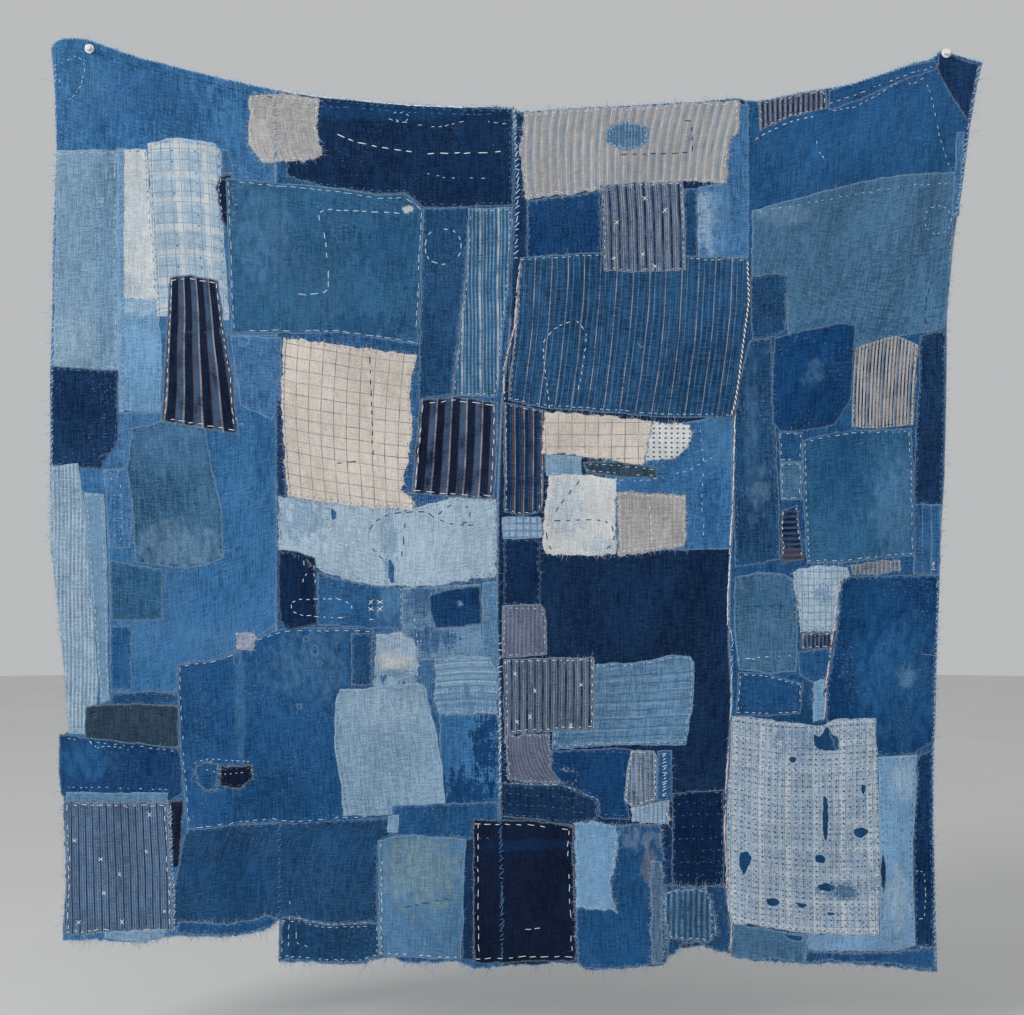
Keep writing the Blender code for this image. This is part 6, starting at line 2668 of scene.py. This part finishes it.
          ring(836, 884, 850, 883, 858, 888, 856, 899, 842, 901, 832, 896), (0, 1, 3, 5), rim=RAW,
          sewing=(Sewing(PINK, 2.0, 2.2, 2.6),)),
)

LINES = (
    Line(WHITE, ring(337, 134, 352, 141, 374, 146, 400, 150, 425, 153, 468, 153, 507, 151), 8, 4, BOLD),
    Line(PALE, ring(388, 118, 415, 124, 440, 127, 472, 119, 510, 124), 4, 3),
    Line(PALE, ring(388, 117, 393, 112, 405, 112, 410, 117, 404, 122, 393, 121, 388, 117), 3.4, 2.4),
    Line(PALE, ring(427, 173, 445, 178, 462, 178, 490, 178), 3, 5),
    Line(DARK, ring(96, 52, 136, 66, 196, 80, 229, 88, 275, 98)),
    Line(BLUE, ring(60, 57, 75, 47, 100, 60, 136, 73, 196, 87, 229, 94, 250, 99), 3, 4),
    Line(BLUE, ring(290, 104, 373, 109, 411, 112, 461, 114, 494, 114), 4, 3.4),
    Line(PALE, ring(60, 62, 76, 54, 84, 64, 80, 86, 70, 100, 60, 92, 58, 74), 2.6, 3.2),
    Line(BLUE, ring(66, 70, 74, 64, 76, 76, 70, 88), 2.4, 3.0),
    Line(PALE, ring(410, 213, 365, 211, 320, 209, 318, 216, 322, 228, 325, 240, 328, 266, 328, 292,
        312, 295, 295, 294), 7, 2.6, BOLD),
    Line(PALE, ring(443, 229, 455, 231, 461, 240, 461, 252, 455, 262, 443, 265, 431, 262, 425, 252,
        425, 240, 431, 231, 443, 229), 5.4, 3, BOLD),
    Line(WHITE, ring(543, 343, 550, 332, 560, 325, 573, 320), 4, 3),
    Line(WHITE, ring(577, 321, 587, 333, 584, 360, 578, 393), 3.4, 4),
    Line(WHITE, ring(543, 348, 546, 380, 550, 410), 3.4, 3.4),
    Line(DARK, ring(620, 155, 656, 154, 693, 152, 692, 136, 692, 120, 659, 123)),
    Line(DARK, ring(369, 346, 371, 400, 373, 460)),
    Line(DARK, ring(336, 463, 350, 462, 363, 461)),
    Line(PALE, ring(310, 372, 330, 380, 346, 370, 352, 352), 4, 4),
    Line(PALE, ring(300, 440, 322, 452, 318, 478), 4, 4),
    Line(DARK, ring(369.5, 530, 376, 520, 393, 513, 410, 512, 427, 512, 436, 519, 448, 524, 479, 526)),
    Line(DARK, ring(437.5, 515, 449, 505, 469, 507, 471, 516, 467, 522, 456, 525)),
    Line(DARK, ring(369.5, 536, 370, 545, 374, 551, 386, 563)),
    Line(DARK, ring(405, 523, 403.5, 541, 401, 561)),
    Line(DARK, ring(318, 571, 335, 577, 351, 581)),
    Line(WHITE, ring(330, 530, 345, 521, 358, 526, 360, 540, 348, 545, 334, 542, 330, 530), 3.4, 3.4),
    Line(WHITE, ring(302, 541, 306, 538, 310, 541, 306, 545, 302, 541), 2.4, 1.8),
    Line(WHITE, ring(304, 560, 304, 569), 3, 1.6),
    Line(WHITE, ring(306, 589, 302, 582, 306, 573, 312, 572, 316, 580, 310, 590), 3.4, 2.4),
    Line(WHITE, ring(291.6, 603, 300, 599.5, 318, 599, 336, 598.7, 346, 601, 353, 607, 350, 614, 346,
        618, 320, 617, 301.5, 615, 290.7, 611, 291.6, 603), 4.4, 3),
    Line(WHITE, ring(369.5, 619.5, 375, 619.5), 4, 1),
    Line(PALE, ring(401, 588, 401, 608, 401, 628), 3.4, 3),
    Line(PALE, ring(414, 618, 417, 636, 418, 654, 417.6, 679), 3.4, 3),
    Line(PALE, ring(290, 901, 289, 925, 288, 950), 4.6, 3),
    Line(PALE, ring(295.7, 932, 296.5, 944, 304, 946, 312, 948), 4.6, 2.6),
    Line(PALE, ring(290, 917, 309, 921, 328, 924, 350, 924, 369, 923), 4, 3),
    Line(PALE, ring(497, 782, 540, 785, 561, 785, 573, 789, 585, 795, 598, 799, 598.7, 819), 3.6, 3),
    Line(WHITE, ring(525, 930, 543, 928), 6, 3),
    Line(DARK, ring(404, 908, 430, 902, 453, 898)),
    Line(DARK, ring(553, 521, 568, 520, 585, 520, 601, 520, 613, 525, 614.5, 538, 613, 545, 603, 550)),
    Line(DARK, ring(546, 531, 548, 546, 555, 553)),
    Line(DARK, ring(580, 480, 566, 497, 553, 515)),
    Line(WHITE, ring(650, 505, 651, 525, 652.6, 546), 5, 2.4),
    Line(PALE, ring(938, 205, 947, 208, 952, 216, 951, 226, 944, 233, 934, 234, 926, 228, 924, 218,
        928, 209, 938, 205), 3, 3.4),
    Line(DARK, ring(926, 325, 926, 300, 930, 284, 938, 277)),
    Line(WHITE, ring(755, 139, 775, 128, 795, 120, 817, 115), 4, 2.8),
    Line(PINK, ring(833, 110, 855, 107, 875, 96, 895, 84, 915, 83, 928, 75), 4, 2.6),
    Line(PALE, ring(817, 140, 818, 150, 825, 160), 3.4, 2),
    Line(PALE, ring(928, 84, 934, 110, 940, 140, 950, 168), 3, 4),
    Line(BLUE, ring(926, 96, 924, 130, 926, 165), 2.6, 4.4),
    Line(DARK, ring(742, 607, 764, 606, 790, 606)),
    Line(WHITE, ring(745, 659, 760, 660), 3, 4),
    Line(WHITE, ring(730, 660, 800, 655), 3, 7),
    Line(PALE, ring(916, 871, 925, 872, 926, 895, 925, 919, 916, 920), 3, 3),
    Line(PALE, ring(90, 742, 97, 748, 108, 746, 124, 748), 3, 2),
    Line(PALE, ring(68, 788, 100, 787, 135, 789, 171, 790), 2.4, 4),
    Line(PALE, ring(206, 770, 224, 775, 246, 772), 2.6, 3),
    Line(PALE, ring(194, 764, 206, 759, 230, 761, 252, 762), 3, 2.4),
    Line(PALE, ring(60, 318, 72, 322, 84, 318, 90, 328, 84, 340, 92, 350, 88, 362), 3, 3.4),
    Line(PALE, ring(232, 412, 236, 420, 246, 426), 3, 3),
    Line(WHITE, ring(500, 700, 500, 735, 501, 770), 3, 3),
    Line(PALE, ring(620, 480, 640, 481, 660, 478, 690, 470, 716, 455), 3, 4),
    Line(PALE, ring(700, 430, 704, 460, 702, 500, 704, 540), 3, 5),
    Line(PALE, ring(740, 790, 738, 830, 736, 880, 740, 915), 2.6, 4),
)
OVERCASTS = (
    Overcast(PALE, TOP_EDGE, 3.0, 3.0, 1.6, FINE),
    Overcast(WHITE, ring(285, 91, 318, 96.3, 373, 101.3, 411, 104.8, 461, 106.8, 492, 106), 4.0, 1.2, 3.4),
    Overcast(BLUE, ring(275, 100, 276, 340, 277, 480, 273, 560, 276, 625), 6.0, 3.4, 2.0),
    Overcast(BLUE, ring(279, 825, 279, 915), 6.0, 3.4, 2.0),
    Overcast(PALE, ring(514, 107, 518, 180, 516, 260), 5.4, 3.4, 2.2, BOLD),
    Overcast(BLUE, ring(513, 107, 516, 180, 514, 260), 4.4, 3.0, 2.6),
    Overcast(PINK, ring(520, 262, 517, 290, 515, 325, 508, 352, 503, 372, 505, 400), 4.6, 1.6, 4.0, BOLD),
    Overcast(BLUE, ring(498, 500, 497, 620, 500, 720, 500, 800, 502, 900, 502, 960), 4.4, 3.4, 2.0),
    Overcast(WHITE, ring(500, 640, 500, 720, 500, 800), 7.0, 3.6, 2.4),
    Overcast(BLUE, ring(746, 104, 748, 200, 748, 256), 4.0, 3.6, 1.8),
    Overcast(TAN, ring(739, 100, 738, 133, 729, 141, 727, 184), 4.4, 2.8, 1.4),
    Overcast(WHITE, ring(735, 420, 734, 470, 733, 505, 730.6, 538, 729.7, 563, 728, 596, 728, 624),
        4.6, 1.4, 4.4),
    Overcast(PALE, ring(728, 624, 733, 638, 732, 671, 731, 704, 730.6, 720), 5.0, 1.6, 4.0),
    Overcast(PINK, ring(729, 745, 726.4, 786, 724.8, 828, 726.4, 861, 727, 886, 729, 911, 732, 924,
        730.6, 948), 5.2, 1.5, 4.4, BOLD),
    Overcast(PINK, ring(838, 585, 835, 621, 831, 650, 827, 680, 825, 716), 5.0, 1.5, 4.4, BOLD),
    Overcast(WHITE, ring(934, 561, 934, 571), 2.4, 3.0, 1.0),
    Overcast(PALE, ring(938, 580, 937, 640, 935, 700, 934, 765, 934, 820, 935, 900, 936, 965), 5.0,
        2.6, 1.4),
    Overcast(PALE, ring(980, 66, 968, 130, 960, 194, 956, 215), 5.0, 2.8, 1.4),
    Overcast(TAN, ring(952, 232, 950, 262), 3.4, 3.0, 1.2),
    Overcast(WHITE, ring(664, 752, 665, 775, 664, 798), 3.0, 4.0, 1.0),
    Overcast(PALE, ring(54, 60, 56, 150, 53, 250, 52, 370, 51, 470, 51, 543), 6.0, 2.6, 1.4),
    Overcast(PALE, ring(170, 806, 171, 861, 174, 895, 174, 930), 4.4, 2.6, 1.4),
    Overcast(BLUE, ring(121, 150, 122, 300, 122, 410), 4.4, 3.0, 1.2),
)
CROSSES = (
    (WHITE, 5.0, ring(645, 198, 665, 210, 617, 222, 614, 258, 643, 254, 655, 266)),
    (WHITE, 4.6, ring(149, 815, 74, 841, 101, 859, 146, 852, 120, 874, 104, 893, 164, 912, 78, 923,
        122, 922)),
    (WHITE, 5.0, ring(515, 674, 535, 691, 581, 685, 517, 722, 530, 717, 571, 726)),
    (WHITE, 6.0, ring(371, 602, 380, 602, 371, 609, 380, 609)),
)
LOOSE_ENDS = (
    (PALE, ring(66, 681, 60, 686, 58, 696), 0.001), (WHITE, ring(922, 654, 938, 652, 944, 664), 0.001),
    (WHITE, ring(944, 663, 942, 670, 936, 674), 0.001), (PALE, ring(938, 626, 946, 627, 953, 637), 0.001),
    (PALE, ring(165, 932, 162, 948, 157, 962), 0.001), (PALE, ring(398, 960, 396, 970, 391, 980), 0.001),
    (BLUE, ring(552, 964, 550, 974, 546, 982), 0.001), (WHITE, ring(272, 92, 275, 86, 279, 92), 0.002),
    (WHITE, ring(276, 91, 280, 84, 283, 91), 0.002), (BLUE, ring(930, 966, 938, 978, 943, 968), 0.001),
    (PALE, ring(52, 50, 42, 44, 38, 52), 0.001), (PALE, ring(57, 154, 50, 152, 45, 159), 0.001),
    (PALE, ring(54, 247, 50, 249, 45, 246), 0.001), (WHITE, ring(369, 101, 368, 94, 374, 90), 0.002),
    (WHITE, ring(371, 101, 376, 96, 373, 88), 0.002), (WHITE, ring(637, 342, 641, 350, 645, 346), 0.001),
    (WHITE, ring(640, 349, 643, 343, 646, 349), 0.001), (PALE, ring(214, 928, 222, 934, 221, 944), 0.001),
)
CORD_EDGE = ring(748, 262, 749, 300, 744, 340, 739, 380, 735, 405, 731, 416)


def main() -> None:
    """Builds and dresses the hanging's sub-assemblies in order."""
    logging.basicConfig(level=logging.INFO, format="%(name)s: %(message)s")
    draws = np.random.default_rng(SEED)
    relief = Relief(draws)
    studio = Studio()
    studio.build()
    base = BaseCloths(relief, draws, BASE_COTTONS)
    base.build()
    base.dress()
    patches = (*LEFT_PATCHES, *CENTRE_LEFT_PATCHES, *CENTRE_RIGHT_PATCHES, *RIGHT_PATCHES)
    patchwork = Patchwork(relief, draws, patches, base.pieces)
    patchwork.build()
    patchwork.dress()
    for part in (
        Needlework(relief, draws, patchwork, LINES, OVERCASTS, CROSSES),
        FrayedEdges(relief, draws, base, patchwork, LOOSE_ENDS),
        TwistedCord(relief, "tan_twisted_cord", CORD_EDGE),
        PushPin("left_pin", LEFT_PIN),
        PushPin("right_pin", RIGHT_PIN),
    ):
        part.build()
        part.dress()
        LOG.info("made %s", type(part).__name__)


if __name__ == "__main__":
    main()
